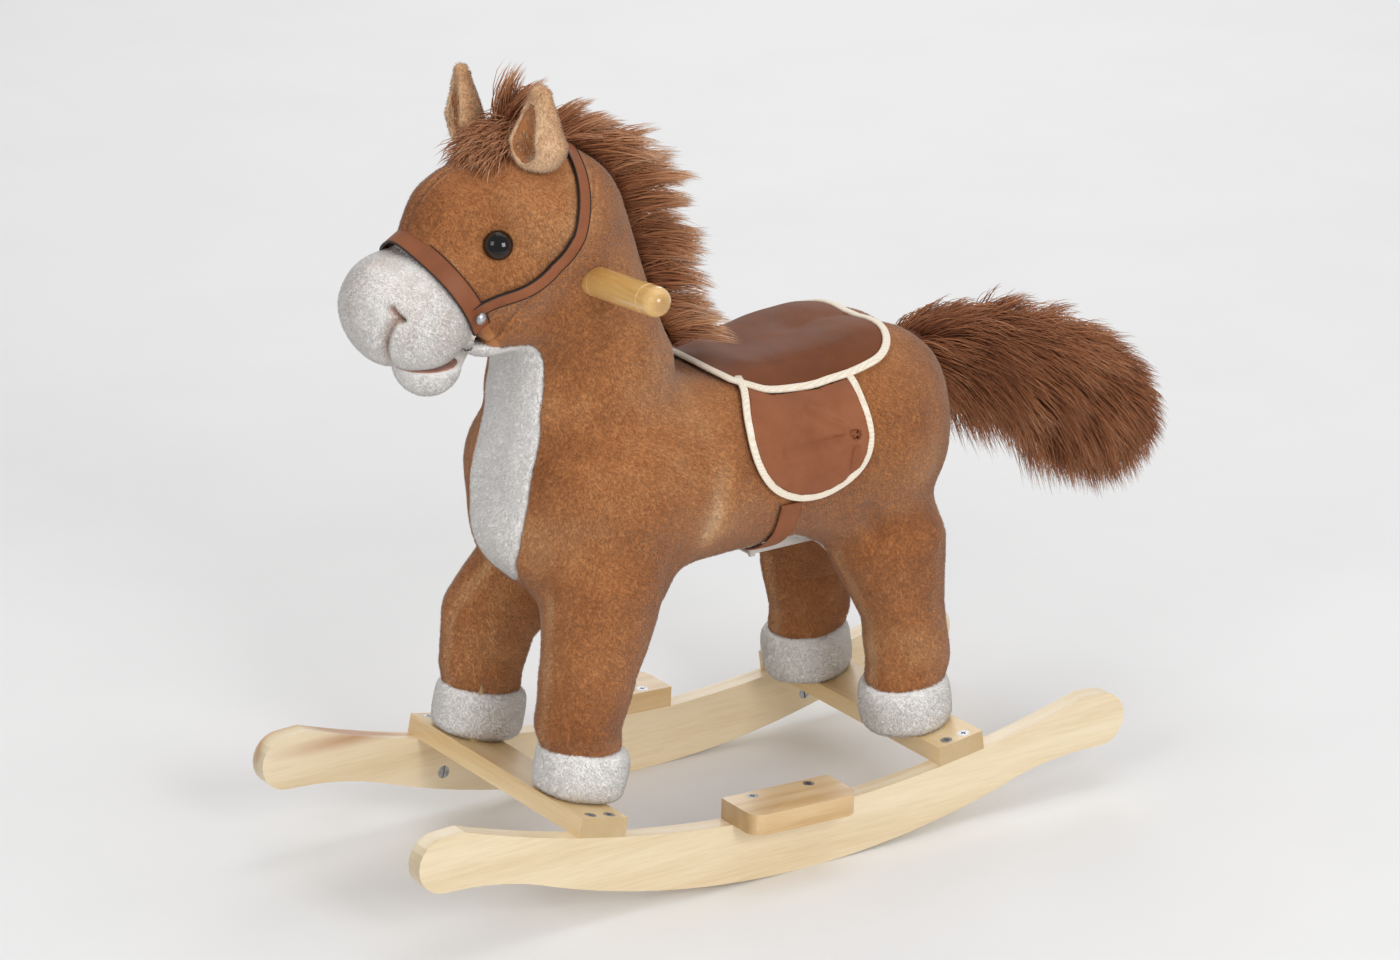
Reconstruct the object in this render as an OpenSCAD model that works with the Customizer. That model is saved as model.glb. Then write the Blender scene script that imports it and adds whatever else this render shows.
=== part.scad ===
// Plush rocking horse on a wooden rocker base.
// Build frame: +Z up, floor at z = 0, nose towards -Y, the horse's left side towards +X.
// While building, y = 0 lies midway between the rocker tips. place() then moves every
// sub-part so that y = 0 is the middle of the whole object, from rocker tip to tail tip.

/* [Rocker base] */
// Half length of a rocker, from its middle to a tip
rocker_half = 312; // [300:1:330]
// Thickness of the rocker boards
rocker_t = 15; // [12:0.5:16]
// Distance from the middle plane to the outer face of a rocker
rocker_out = 120; // [112:1:124]
// Radius of the curve that rolls on the floor
roll_r = 665; // [640:5:700]
// Height of the rocker board at its middle
rocker_h = 46.5; // [44:0.5:50]
// How far the base leans back when it stands at rest, in degrees
lean = 2; // [1:0.25:3]
// Width of a crossbar
bar_w = 40; // [38:1:41]
// Thickness of a crossbar
bar_t = 15; // [12:0.5:16]
// Distance of a crossbar's middle from the middle of the rockers
bar_y = 160; // [156:1:164]
// Length of a footrest along the rocker
foot_l = 94; // [80:1:100]
// Thickness of a footrest
foot_t = 16; // [12:0.5:18]
// Distance from the middle plane to the outer edge of a footrest
foot_out = 148; // [140:1:155]

/* [Handles] */
// Radius of the turned handle pegs
peg_r = 11; // [10:0.5:12]
// Distance from the middle plane to the end of a peg
peg_out = 148; // [130:1:155]
// Upward slope of a peg, in degrees
peg_rise = 4; // [2:0.5:6]

/* [Body] */
// Radius of the round sides of the barrel
barrel_r = 84; // [80:1:86]
// Half width of the flat back between those round sides
back_half = 18; // [16:1:20]
// Height of the barrel's middle above the floor
barrel_z = 299; // [296:1:302]
// Distance of the legs' middle lines from the middle plane
leg_x = 65; // [63:1:67]
// Radius of a white hoof cuff
hoof_r = 34; // [32:0.5:35]
// Height of a white hoof cuff
hoof_h = 38; // [32:1:42]
// Radius of a leg where it meets the barrel
leg_top_r = 45; // [42:1:47]

/* [Saddle] */
// Thickness of the padded saddle seat
seat_t = 5; // [3:0.5:6]
// Thickness of the hanging saddle flaps
flap_t = 3; // [2:0.5:4]
// Width of the cream piping along the edges
piping_w = 6; // [4:0.5:8]

/* [Mechanism] */
// Radius of the shafts that the jaw and the tail turn on
shaft_r = 3; // [2.5:0.25:3.5]
// Running clearance of those shafts in their lugs
shaft_gap = 0.05; // [0.03:0.01:0.08]

/* [Hidden] */

$fn = 48;
plush_fn = 24;
big = 400;
eps = 0.01;

plush_brown = [0.68, 0.45, 0.28];
plush_white = [0.93, 0.92, 0.90];
hair_brown = [0.42, 0.25, 0.15];
hide_brown = [0.50, 0.27, 0.18];
cream = [0.93, 0.88, 0.78];
pale_wood = [0.90, 0.81, 0.63];
varnished_wood = [0.87, 0.70, 0.42];
inner_wood = [0.83, 0.73, 0.55];
steel = [0.72, 0.73, 0.75];
dark_plastic = [0.16, 0.16, 0.17];

// Tail tip and the shift that centres the whole object on y = 0.
tail_tip_y = 432;
mid_y = (tail_tip_y - rocker_half) / 2;
module place() translate([0, -mid_y, 0]) children();

// ---------- rocker base ----------

// The base is drawn level, with its lowest point at the origin, and leans by rolling.
tip_r = 21;
tip_y = rocker_half - tip_r;
tip_z = rocker_h + 19.5;
tip_balance = 2.5;
contact_y = roll_r * sin(lean) - tip_balance;
module base_frame()
  translate([0, contact_y, roll_r]) rotate([-lean, 0, 0]) translate([0, 0, -roll_r]) children();

// Underside of the board: an arc that rolls, then a curve that flattens out to the tip.
roll_end = 215;
roll_slope = roll_end / sqrt(roll_r * roll_r - roll_end * roll_end);
flat_run = tip_y - 10 - roll_end;
function arc_rise(y, r) = r - sqrt(r * r - y * y);
function tail_off(s) = roll_slope * (s - s * s / (2 * flat_run));
function under(y) = abs(y) <= roll_end
  ? arc_rise(y, roll_r)
  : arc_rise(roll_end, roll_r) + tail_off(abs(y) - roll_end) * tip_fit;
tip_fit = (tip_z - tip_r - arc_rise(roll_end, roll_r)) / tail_off(flat_run);

// Upper edge of the board: one shallow arc with flat lands for the footrest and crossbars.
top_r = 930;
land_y = foot_l / 2;
bar_in = bar_y - bar_w / 2;
bar_far = bar_y + bar_w / 2;
function upper(y) = rocker_h + arc_rise(y, top_r);
upper_ys = [land_y, 62, 80, 100, 120, bar_in, bar_far, 200, 220, 240, 260, 275];
under_ys = [for (i = [-12:12]) i / 12 * roll_end];
flat_ys = [for (i = [1:6]) roll_end + i / 6 * flat_run];

function rocker_outline() = concat(
  [for (i = [len(flat_ys) - 1:-1:0]) [-flat_ys[i], under(flat_ys[i])]],
  [for (y = under_ys) [y, under(y)]],
  [for (y = flat_ys) [y, under(y)]],
  [for (a = [-90:15:90]) [tip_y + tip_r * cos(a), tip_z + tip_r * sin(a)]],
  [for (i = [len(upper_ys) - 1:-1:0]) [upper_ys[i], upper(upper_ys[i])]],
  [for (y = upper_ys) [-y, upper(y)]],
  [for (a = [90:15:270]) [-tip_y + tip_r * cos(a), tip_z + tip_r * sin(a)]]
);

// Turns a drawing in (y, z) into a board between x0 and x1.
module board(x0, x1)
  translate([x0, 0, 0]) rotate([90, 0, 90]) linear_extrude(x1 - x0) children();

// Seat of a crossbar: its middle on the upper edge, tilted to lie on its land.
land_tilt = atan2(upper(bar_far) - upper(bar_in), bar_w);
land_z = (upper(bar_far) + upper(bar_in)) / 2;
module bar_frame(end)
  base_frame() translate([0, end * bar_y, land_z]) rotate([end * land_tilt, 0, 0]) children();

rocker_mid = rocker_out - rocker_t / 2;
screw_off = 8;
screw_ends = [for (end = [-1, 1]) for (s = [-1, 1]) [end, s]];
nut_r = 5;
nut_len = 11;
nut_drop = 42;
bolt_len = nut_drop + nut_r;
bolt_r = 2.5;
screw_len = 32;
screw_r = 2;
head_r = 4.5;
head_h = 3;
foot_screw_y = 25;

// Countersunk screw or bolt, its flat head level with z = 0, with a cross recess.
module countersunk(shaft, length) {
  recess = head_r * 1.1;
  slot = 1;
  slot_depth = 1.2;
  difference() {
    union() {
      translate([0, 0, -head_h]) cylinder(r1 = shaft, r2 = head_r, h = head_h);
      translate([0, 0, -length]) cylinder(r = shaft, h = length - head_h + eps);
    }
    for (turn = [0, 90])
      rotate([0, 0, turn]) translate([-recess / 2, -slot / 2, -slot_depth]) cube([recess, slot, 2]);
  }
}
module countersunk_hole(shaft, length) {
  translate([0, 0, -head_h]) cylinder(r1 = shaft, r2 = head_r, h = head_h);
  translate([0, 0, -eps]) cylinder(r = head_r, h = 1);
  translate([0, 0, -length]) cylinder(r = shaft, h = length - head_h + eps);
}

// Places of the wood screws and of the bolts, as lists of frames.
module bar_fasteners(off) {
  for (e = screw_ends)
    bar_frame(e[0]) translate([e[1] * rocker_mid, off, bar_t]) children();
}
module foot_fasteners() {
  for (s = [-1, 1])
    for (end = [-1, 1])
      base_frame() translate([s * rocker_mid, end * foot_screw_y, upper(land_y) + foot_t]) children();
}
// Inner faces of the rockers where the bolts' barrel nuts go in, z into the wood.
module nut_frame(e)
  bar_frame(e[0]) translate([e[1] * (rocker_out - rocker_t), screw_off, bar_t - nut_drop])
    rotate([0, e[1] * 90, 0]) children();

module rocker(s) {
  x0 = s > 0 ? rocker_out - rocker_t : -rocker_out;
  color(pale_wood) place() difference() {
    base_frame() board(x0, x0 + rocker_t) polygon(rocker_outline());
    bar_fasteners(-screw_off) countersunk_hole(screw_r, screw_len);
    bar_fasteners(screw_off) countersunk_hole(bolt_r, bolt_len);
    foot_fasteners() countersunk_hole(screw_r, screw_len);
    for (e = screw_ends) nut_frame(e) translate([0, 0, -1]) cylinder(r = nut_r, h = nut_len + 1);
  }
}

module crossbar(end) {
  color(pale_wood) place() difference() {
    bar_frame(end) translate([-rocker_out, -bar_w / 2, 0]) cube([2 * rocker_out, bar_w, bar_t]);
    bar_fasteners(-screw_off) countersunk_hole(screw_r, screw_len);
    bar_fasteners(screw_off) countersunk_hole(bolt_r, bolt_len);
    for (s = [-1, 1]) post_screw_place(end, s) countersunk_hole(post_screw_r, post_screw_len);
  }
}

foot_corner = 12;
module footrest(s) {
  inner = rocker_out - rocker_t;
  depth = foot_out - inner;
  color(varnished_wood) place() difference() {
    base_frame() translate([s * inner, 0, upper(land_y)]) rotate([0, 0, s > 0 ? 0 : 180])
      linear_extrude(foot_t) {
        translate([0, -land_y]) square([depth - foot_corner, foot_l]);
        translate([0, -land_y + foot_corner]) square([depth, foot_l - 2 * foot_corner]);
        for (end = [-1, 1])
          translate([depth - foot_corner, end * (land_y - foot_corner)]) circle(r = foot_corner);
      }
    foot_fasteners() countersunk_hole(screw_r, screw_len);
  }
}

module wood_screws() {
  color(steel) place() {
    bar_fasteners(-screw_off) countersunk(screw_r, screw_len);
    foot_fasteners() countersunk(screw_r, screw_len);
  }
}
module crossbar_bolts() {
  color(steel) place() bar_fasteners(screw_off) countersunk(bolt_r, nut_drop - nut_r);
}
module barrel_nuts() {
  slot_w = 1.4;
  slot_depth = 1.2;
  color(steel) place() for (e = screw_ends) nut_frame(e) difference() {
    cylinder(r = nut_r, h = nut_len);
    translate([-nut_r, -slot_w / 2, -1]) cube([2 * nut_r, slot_w, 1 + slot_depth]);
  }
}

// ---------- wooden frame inside the plush ----------

post_w = 28;
post_x0 = 52;
post_h = 225;
post_screw_r = 3;
post_screw_len = bar_t + 45;
function leg_y(end) = -end * 10;
function post_y0(end) = end < 0 ? bar_w / 2 - post_w : -bar_w / 2;
module post_form(end, s, grow = 0)
  bar_frame(end)
    translate([s > 0 ? post_x0 - grow : -post_x0 - post_w - grow, post_y0(end) - grow, bar_t])
      cube([post_w + 2 * grow, post_w + 2 * grow, post_h + grow]);
// Screws that come up through a crossbar into a post, head down.
module post_screw_place(end, s)
  bar_frame(end) translate([s * (post_x0 + post_w / 2), post_y0(end) + post_w / 2, 0])
    rotate([180, 0, 0]) children();

side_board_t = 15;
board_x0 = post_x0 - side_board_t;
board_z0 = 245;
board_z1 = 335;
frame_y0 = -140;
frame_y1 = 150;
block_y = [-132, 84];
block_l = 30;
block_z0 = 255;
block_z1 = 315;

module post(end, s) {
  color(inner_wood) place() difference() {
    post_form(end, s);
    post_screw_place(end, s) countersunk_hole(post_screw_r, post_screw_len);
  }
}
module post_screws() {
  color(steel) place() for (e = screw_ends)
    post_screw_place(e[0], e[1]) countersunk(post_screw_r, post_screw_len);
}
module body_board(s) {
  x0 = s > 0 ? board_x0 : -post_x0;
  color(inner_wood) place()
    translate([x0, frame_y0, board_z0]) cube([side_board_t, frame_y1 - frame_y0, board_z1 - board_z0]);
}
module body_cross_blocks() {
  color(inner_wood) place() for (y = block_y)
    translate([-board_x0, y, block_z0]) cube([2 * board_x0, block_l, block_z1 - block_z0]);
}
seat_board_y0 = -15;
seat_board_l = 130;
seat_board_t = 10;
module seat_board_form()
  translate([-post_x0, seat_board_y0, board_z1]) cube([2 * post_x0, seat_board_l, seat_board_t]);
module seat_board() {
  color(inner_wood) place() seat_board_form();
}

// The neck board stands on the front block and carries the handle pegs.
peg_y = -124.5;
peg_z = 458;
neck_t = 24;
neck_outline = [[-140, block_z1], [-98, block_z1], [-104, 515], [-148, 515]];
tenon_r = 8;
tenon_x = 3;
peg_root = 66;
peg_gap = 0.3;
module neck_board_form() board(-neck_t / 2, neck_t / 2) polygon(neck_outline);
module peg_frame(s)
  translate([0, peg_y, peg_z]) rotate([0, s * (90 - peg_rise), 0]) children();
module neck_board() {
  color(inner_wood) place() difference() {
    neck_board_form();
    for (s = [-1, 1]) peg_frame(s) translate([0, 0, tenon_x]) cylinder(r = tenon_r, h = neck_t);
  }
}

// Turned peg: a tenon, a plain grip, a shallow ring and a round end.
module handle(s) {
  run = peg_out / cos(peg_rise) - peg_r;
  shoulder = neck_t / 2 + 2;
  color(varnished_wood) place() peg_frame(s) rotate_extrude() polygon(concat(
    [[0, tenon_x], [tenon_r, tenon_x], [tenon_r, shoulder], [peg_r, shoulder], [peg_r, peg_root - 1],
     [peg_r - 0.4, peg_root], [peg_r, peg_root + 1], [peg_r, run - 9],
     [peg_r - 0.7, run - 8], [peg_r, run - 7], [peg_r, run]],
    [for (a = [10:10:90]) [peg_r * cos(a), run + peg_r * sin(a)]]
  ));
}

// ---------- plush shapes ----------

module ball(p, r) translate(p) sphere(r = r, $fn = plush_fn);
// A ball on each side of the middle plane.
module pair(x, y, z, r) {
  ball([x, y, z], r);
  ball([-x, y, z], r);
}

barrel_y0 = -100;
barrel_y1 = 112;
// Cross-section of the barrel: a flat back and belly joined by round sides, grown by g.
module barrel_section(g = 0) {
  for (s = [-1, 1]) translate([s * back_half, 0]) circle(r = barrel_r + g);
  square([2 * back_half, 2 * (barrel_r + g)], center = true);
}
// Runs a drawing in (x, z), centred on the barrel, from y0 to y1.
module along_y(y0, y1)
  translate([0, y1, barrel_z]) rotate([90, 0, 0]) linear_extrude(y1 - y0) children();

module torso_form() {
  along_y(barrel_y0, barrel_y1) barrel_section();
  hull() {
    pair(30, -125, 275, 62);
    pair(22, -120, 348, 62);
    pair(34, -92, 300, 70);
  }
  hull() {
    pair(33, 112, 278, 69);
    pair(31, 108, 300, 69);
  }
}
module neck_form() hull() {
  pair(12, -102, 380, 64);
  pair(10, -140, 420, 45);
  pair(8, -124, 490, 50);
}
module head_form() hull() {
  pair(14, -148, 500, 58);
  pair(20, -160, 478, 48);
  pair(10, -212, 466, 38);
}
module muzzle_form() hull() {
  pair(13, -228, 456, 40);
  pair(13, -250, 441, 40);
}

// Seam planes: each frame has its z axis along the plane's outward normal.
head_seam = [0, -140, 505];
head_seam_turn = 54.8;
nose_seam = [0, -221.5, 460];
nose_seam_turn = 121.5;
module head_seam_frame() translate(head_seam) rotate([head_seam_turn, 0, 0]) children();
module nose_seam_frame() translate(nose_seam) rotate([nose_seam_turn, 0, 0]) children();
module front_half() translate([-big / 2, -big / 2, 0]) cube(big);

// Revolved leg: rings of radius and height above the crossbar.
leg_h = 172;
function leg_rings() = [[hoof_r - 1, hoof_h], [hoof_r + 4, hoof_h + 55], [leg_top_r, leg_h]];
// The right foreleg is stuffed further out than the others.
function foot_x(end, s) = end < 0 && s < 0 ? -leg_x - 12 : s * leg_x;
module leg_axis(end, s)
  bar_frame(end) translate([foot_x(end, s), leg_y(end), bar_t]) children();
module leg_form(end, s)
  leg_axis(end, s) rotate_extrude() polygon(concat([[0, hoof_h]], leg_rings(), [[0, leg_h]]));
module leg(end, s) {
  color(plush_brown) place() difference() {
    leg_form(end, s);
    post_form(end, s);
    body_board_space();
  }
}
module hoof(end, s) {
  edge = 5;
  color(plush_white) place() difference() {
    leg_axis(end, s) rotate_extrude() polygon(concat(
      [[0, 0], [hoof_r - edge, 0]],
      [for (a = [-60:30:0]) [hoof_r - edge + edge * cos(a), edge + edge * sin(a)]],
      [[hoof_r, hoof_h - 3], [hoof_r - 1, hoof_h], [0, hoof_h]]
    ));
    post_form(end, s);
  }
}

// Room for the wooden frame, drawn as one solid a little wider than the side boards.
board_gap = 1;
module body_board_space() {
  half = post_x0 + board_gap;
  translate([-half, frame_y0, board_z0]) cube([2 * half, frame_y1 - frame_y0, board_z1 - board_z0]);
}

bib_half = 40;
bib_y = -166;
bib_z0 = 226;
bib_z1 = 408;
module bib_space()
  translate([-bib_half, bib_y - big, bib_z0]) cube([2 * bib_half, big, bib_z1 - bib_z0]);
belly_half = 36;
belly_y0 = -70;
belly_y1 = 94;
belly_top = 222;
module belly_space()
  translate([-belly_half, belly_y0, belly_top - big]) cube([2 * belly_half, belly_y1 - belly_y0, big]);

module plush_body() {
  color(plush_brown) place() difference() {
    union() {
      torso_form();
      difference() {
        neck_form();
        head_seam_frame() front_half();
      }
    }
    for (e = screw_ends) {
      leg_form(e[0], e[1]);
      post_form(e[0], e[1]);
    }
    body_board_space();
    seat_board_form();
    neck_board_form();
    for (s = [-1, 1])
      peg_frame(s) translate([0, 0, neck_t / 2 - 2]) cylinder(r = peg_r + peg_gap, h = big);
    bib_space();
    belly_space();
    sound_space();
    battery_space();
    tail_space();
    jaw_space();
  }
}
module chest_bib() {
  color(plush_white) place() intersection() {
    torso_form();
    bib_space();
  }
}
module belly_panel() {
  color(plush_white) place() difference() {
    intersection() {
      along_y(belly_y0, belly_y1) barrel_section();
      belly_space();
    }
    battery_space();
  }
}

module plush_head() {
  color(plush_brown) place() difference() {
    head_form();
    head_seam_frame() translate([0, 0, -big]) front_half();
    nose_seam_frame() front_half();
    neck_board_form();
    jaw_space();
    for (s = [-1, 1]) {
      eye_form(s);
      ear_space(s);
    }
  }
}

lip_z = 408;
module muzzle() {
  color(plush_white) place() difference() {
    muzzle_form();
    nose_seam_frame() translate([0, 0, -big]) front_half();
    translate([-big / 2, -big, lip_z - big]) cube(big);
    jaw_space();
  }
}

// ---------- head details ----------

eye_at = [56, -200, 500];
eye_r = 11;
eye_tilt = 78;
eye_turn = -38;
eye_rim = 3;
stem_r = 2.5;
stem_l = 14;
washer_r = 8;
washer_t = 1.5;
module eye_frame(s)
  mirror([s > 0 ? 0 : 1, 0, 0]) translate(eye_at)
    rotate([0, 0, eye_turn]) rotate([0, eye_tilt, 0]) children();
// Safety eye: a flat base, with a stem and a washer inside the stuffing.
module eye_form(s)
  eye_frame(s) {
    cylinder(r = eye_r, h = eye_rim);
    translate([0, 0, -stem_l]) cylinder(r = stem_r, h = stem_l + eps);
    translate([0, 0, -stem_l]) cylinder(r = washer_r, h = washer_t);
  }
module eyes() {
  dome_r = 14;
  dome_h = 8;
  color("black") place() for (s = [-1, 1]) {
    eye_form(s);
    eye_frame(s) intersection() {
      translate([0, 0, eye_rim - eps]) cylinder(r = eye_r, h = dome_h);
      translate([0, 0, eye_rim - sqrt(dome_r * dome_r - eye_r * eye_r)]) sphere(r = dome_r);
    }
  }
}

ear_base = 552;
ear_t = 8;
button_r = 6;
button_at = [45, -157, 572];
button_back = -4;
button_t = 3;
button_gap = 0.4;
button_well = 16;
button_turn = 28;
module ear_form(s)
  mirror([s > 0 ? 0 : 1, 0, 0]) hull() {
    ball([34, -166, 556], ear_t);
    ball([56, -154, 556], ear_t);
    ball([33, -164, 582], ear_t - 1);
    ball([58, -151, 582], ear_t - 1);
    ball([46, -152, 604], ear_t - 1);
  }
module ear_space(s)
  mirror([s > 0 ? 0 : 1, 0, 0]) translate([22, -182, ear_base]) cube([46, 42, 40]);
module button_frame() translate(button_at) rotate([90, 0, button_turn]) children();
module ear(s) {
  color(plush_brown) place() difference() {
    ear_form(s);
    translate([-big / 2, -big, ear_base - big]) cube(big);
    if (s > 0)
      button_frame() translate([0, 0, button_back - 2]) cylinder(r = button_r + button_gap, h = button_well);
  }
}
module ear_button() {
  color(dark_plastic) place() button_frame()
    translate([0, 0, button_back]) cylinder(r = button_r, h = button_t);
}

hair_half = 20;
// Mane: its inner edge follows the back of the neck and its outer edge the hair tips.
mane_outline = [
  [-36, 396], [-38, 404], [-75, 508], [-88, 526], [-104, 545], [-118, 553], [-126, 562], [-128, 584],
  [-108, 583], [-82, 572], [-52, 560], [-39, 549], [-20, 518], [-5, 487], [8, 460], [14, 430],
  [14, 396]
];
module mane() {
  color(hair_brown) place() board(-hair_half, hair_half) polygon(mane_outline);
}
// Forelock: it lies on the round top of the head between the ears.
crown_y = -148;
crown_z = 500;
crown_r = 59;
crown_front = 134;
brow_run = 18;
function crown_at(a) = [crown_y + crown_r * cos(a), crown_z + crown_r * sin(a)];
module forelock() {
  color(hair_brown) place() board(-hair_half, hair_half) polygon(concat(
    [crown_at(crown_front) + brow_run * [cos(crown_front + 90), sin(crown_front + 90)]],
    [for (a = [crown_front:-8:102]) crown_at(a)],
    [[-136, 559], [-132, 596], [-146, 616], [-164, 610], [-186, 578], [-204, 536]]
  ));
}

// ---------- bridle ----------

strap_t = 2.5;
nose_strap_w = 15;
module rounded_ring(half, r, t) difference() {
  union() {
    for (s = [-1, 1]) translate([s * half, 0]) circle(r = r + t);
    square([2 * half, 2 * (r + t)], center = true);
  }
  for (s = [-1, 1]) translate([s * half, 0]) circle(r = r);
  square([2 * half, 2 * r], center = true);
}
// The noseband's ends are sewn in on each side of the jaw.
chin_half = 18;
chin_drop = 20;
nose_half = 13.5;
nose_r = 40.5;
module noseband() {
  color(hide_brown) place() difference() {
    nose_seam_frame() translate([0, 0, -nose_strap_w / 2]) linear_extrude(nose_strap_w)
      rounded_ring(nose_half, nose_r, strap_t);
    translate([-chin_half, -big / 2, nose_seam[2] - chin_drop - big]) cube([2 * chin_half, big, big]);
  }
}
// The cheek strap crosses behind the ears and comes down to the noseband on both sides.
cheek_w = 12;
crown_half = 14.5;
crown_ring = 59;
cheek_half = 20.5;
cheek_ring = 49;
cheek_low = -34;
strap_low = 452;
crown_low = -9;
module stadium(half, r) {
  for (s = [-1, 1]) translate([s * half, 0]) circle(r = r);
  square([2 * half, 2 * r], center = true);
}
// Section of the head along its seam, grown by g.
module head_section(g) {
  translate([0, crown_low]) stadium(crown_half, crown_ring + g);
  translate([0, cheek_low]) stadium(cheek_half, cheek_ring + g);
}
mane_gap = 0.3;
module cheek_strap() {
  color(hide_brown) place() difference() {
    head_seam_frame() translate([0, 0, -cheek_w / 2]) linear_extrude(cheek_w) difference() {
      head_section(strap_t);
      head_section(0);
    }
    translate([-big / 2, -big / 2, strap_low - big]) cube(big);
    translate([-hair_half - mane_gap, -big / 2, crown_z]) cube([2 * (hair_half + mane_gap), big, big]);
  }
}
rivet_at = [56.6, -219, 456];
module bridle_rivets() {
  color(steel) place() for (s = [-1, 1])
    mirror([s > 0 ? 0 : 1, 0, 0]) translate(rivet_at) rotate([0, 90, 0]) {
      cylinder(r = 4, h = 1.2);
      translate([0, 0, 1.2 - eps]) cylinder(r1 = 4, r2 = 2.4, h = 1.2);
    }
}

// ---------- saddle ----------

seat_gap = 0.3;
seat_y0 = -10;
seat_y1 = 138;
seat_corner = 34;
// Plan of the seat, shrunk by d: narrow in front, wide and rounded behind.
module seat_plan(d = 0) {
  front_half_w = 46 - d;
  wide = 73 - d;
  corner = seat_corner - d;
  corner_y = seat_y1 - seat_corner;
  polygon(concat(
    [[-front_half_w, seat_y0 + d], [front_half_w, seat_y0 + d], [wide - 3, 18], [wide, 50]],
    [for (a = [0:10:90]) [wide - corner + corner * cos(a), corner_y + corner * sin(a)]],
    [for (a = [90:10:180]) [-wide + corner + corner * cos(a), corner_y + corner * sin(a)]],
    [[-wide, 50], [-wide + 3, 18]]
  ));
}
// A skin over the barrel, between the given distances from it.
module barrel_skin(y0, y1, g0, g1)
  along_y(y0, y1) difference() {
    barrel_section(g1);
    barrel_section(g0);
  }
module seat_part(g0, g1)
  intersection() {
    barrel_skin(seat_y0 - 5, seat_y1 + 5, g0, g1);
    translate([0, 0, barrel_z + 20]) linear_extrude(big) children();
  }
module saddle_seat() {
  color(hide_brown) place() seat_part(seat_gap, seat_gap + seat_t) seat_plan(piping_w);
}

// Outline of a flap seen from the side, in (y, z), shrunk by d: square top, round bottom.
flap_mid = 37;
flap_half = 50;
flap_top = 361;
flap_bow = 45;
flap_mid_z = 326;
module flap_plan(d = 0) {
  polygon(concat(
    [[flap_mid + flap_half - 6 - d, flap_top], [flap_mid - flap_half + 6 + d, flap_top]],
    [for (a = [180:10:360]) [flap_mid + (flap_half - d) * cos(a), flap_mid_z + (flap_bow - d) * sin(a)]]
  ));
}
module flap_part(s, g0, g1)
  intersection() {
    barrel_skin(flap_mid - flap_half - 5, flap_mid + flap_half + 5, g0, g1);
    board(s > 0 ? 0 : -big, s > 0 ? big : 0) children();
  }
module saddle_flap(s) {
  color(hide_brown) place() difference() {
    flap_part(s, seat_gap, seat_gap + flap_t) flap_plan(piping_w);
    translate([0, 0, barrel_z]) linear_extrude(big) seat_plan();
  }
}
module saddle_piping() {
  proud = 0.8;
  color(cream) place() {
    seat_part(seat_gap, seat_gap + seat_t + proud) difference() {
      seat_plan();
      seat_plan(piping_w);
    }
    for (s = [-1, 1]) difference() {
      flap_part(s, seat_gap, seat_gap + flap_t + proud) difference() {
        flap_plan();
        flap_plan(piping_w);
      }
      translate([0, 0, barrel_z]) linear_extrude(big) seat_plan();
    }
  }
}
// The girth runs from flap to flap under the belly.
girth_y = 10;
girth_w = 18;
girth_t = 2;
girth_top = 280.3;
module girth_strap() {
  color(hide_brown) place() difference() {
    barrel_skin(girth_y, girth_y + girth_w, seat_gap, seat_gap + girth_t);
    translate([-big / 2, -big / 2, girth_top]) cube(big);
  }
}

// ---------- jaw ----------

jaw_pivot = [0, -192, 424];
lug_in = 7;
lug_t = 4;
lug_w = 16;
bore_l = 60;
jaw_box_at = [-15, -184, 410];
jaw_box_size = [30, 34, 30];
jaw_hub_r = 6;
module jaw_space() {
  translate([-16, -186, 408]) cube([32, 40, 34]);
  translate([-12, -202, 412]) cube([24, 17, 24]);
  translate([-lug_in, -232, 400]) cube([2 * lug_in, 48, 34]);
}
module jaw_gearbox() {
  color(dark_plastic) place() difference() {
    union() {
      translate(jaw_box_at) cube(jaw_box_size);
      for (s = [-1, 1])
        translate([s > 0 ? lug_in : -lug_in - lug_t, jaw_pivot[1] - 7, jaw_pivot[2] - lug_w / 2])
          cube([lug_t, lug_w, lug_w]);
    }
    translate(jaw_pivot) rotate([0, 90, 0])
      cylinder(r = shaft_r + shaft_gap, h = bore_l, center = true);
  }
}
module jaw_shaft() {
  color(steel) place() translate(jaw_pivot) rotate([0, 90, 0])
    cylinder(r = shaft_r, h = 2 * (lug_in + lug_t), center = true);
}
module jaw_lever() {
  color(dark_plastic) place() difference() {
    union() {
      translate(jaw_pivot) rotate([0, 90, 0]) cylinder(r = jaw_hub_r, h = 2 * lever_half, center = true);
      lever_blade();
    }
    translate(jaw_pivot) rotate([0, 90, 0]) cylinder(r = shaft_r, h = bore_l, center = true);
  }
}
lever_half = 5;
module lever_blade()
  board(-lever_half, lever_half)
    polygon([[-196, 420], [-189, 419], [-206, 392], [-232, 392], [-232, 400], [-212, 402]]);
jaw_top = lip_z - 2.5;
module lower_jaw() {
  color(plush_white) place() difference() {
    hull() {
      pair(9, -226, 402, 21);
      pair(6, -214, 402, 18);
    }
    translate([-big / 2, -big, jaw_top]) cube(big);
    lever_blade();
  }
}

// ---------- tail ----------

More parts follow.
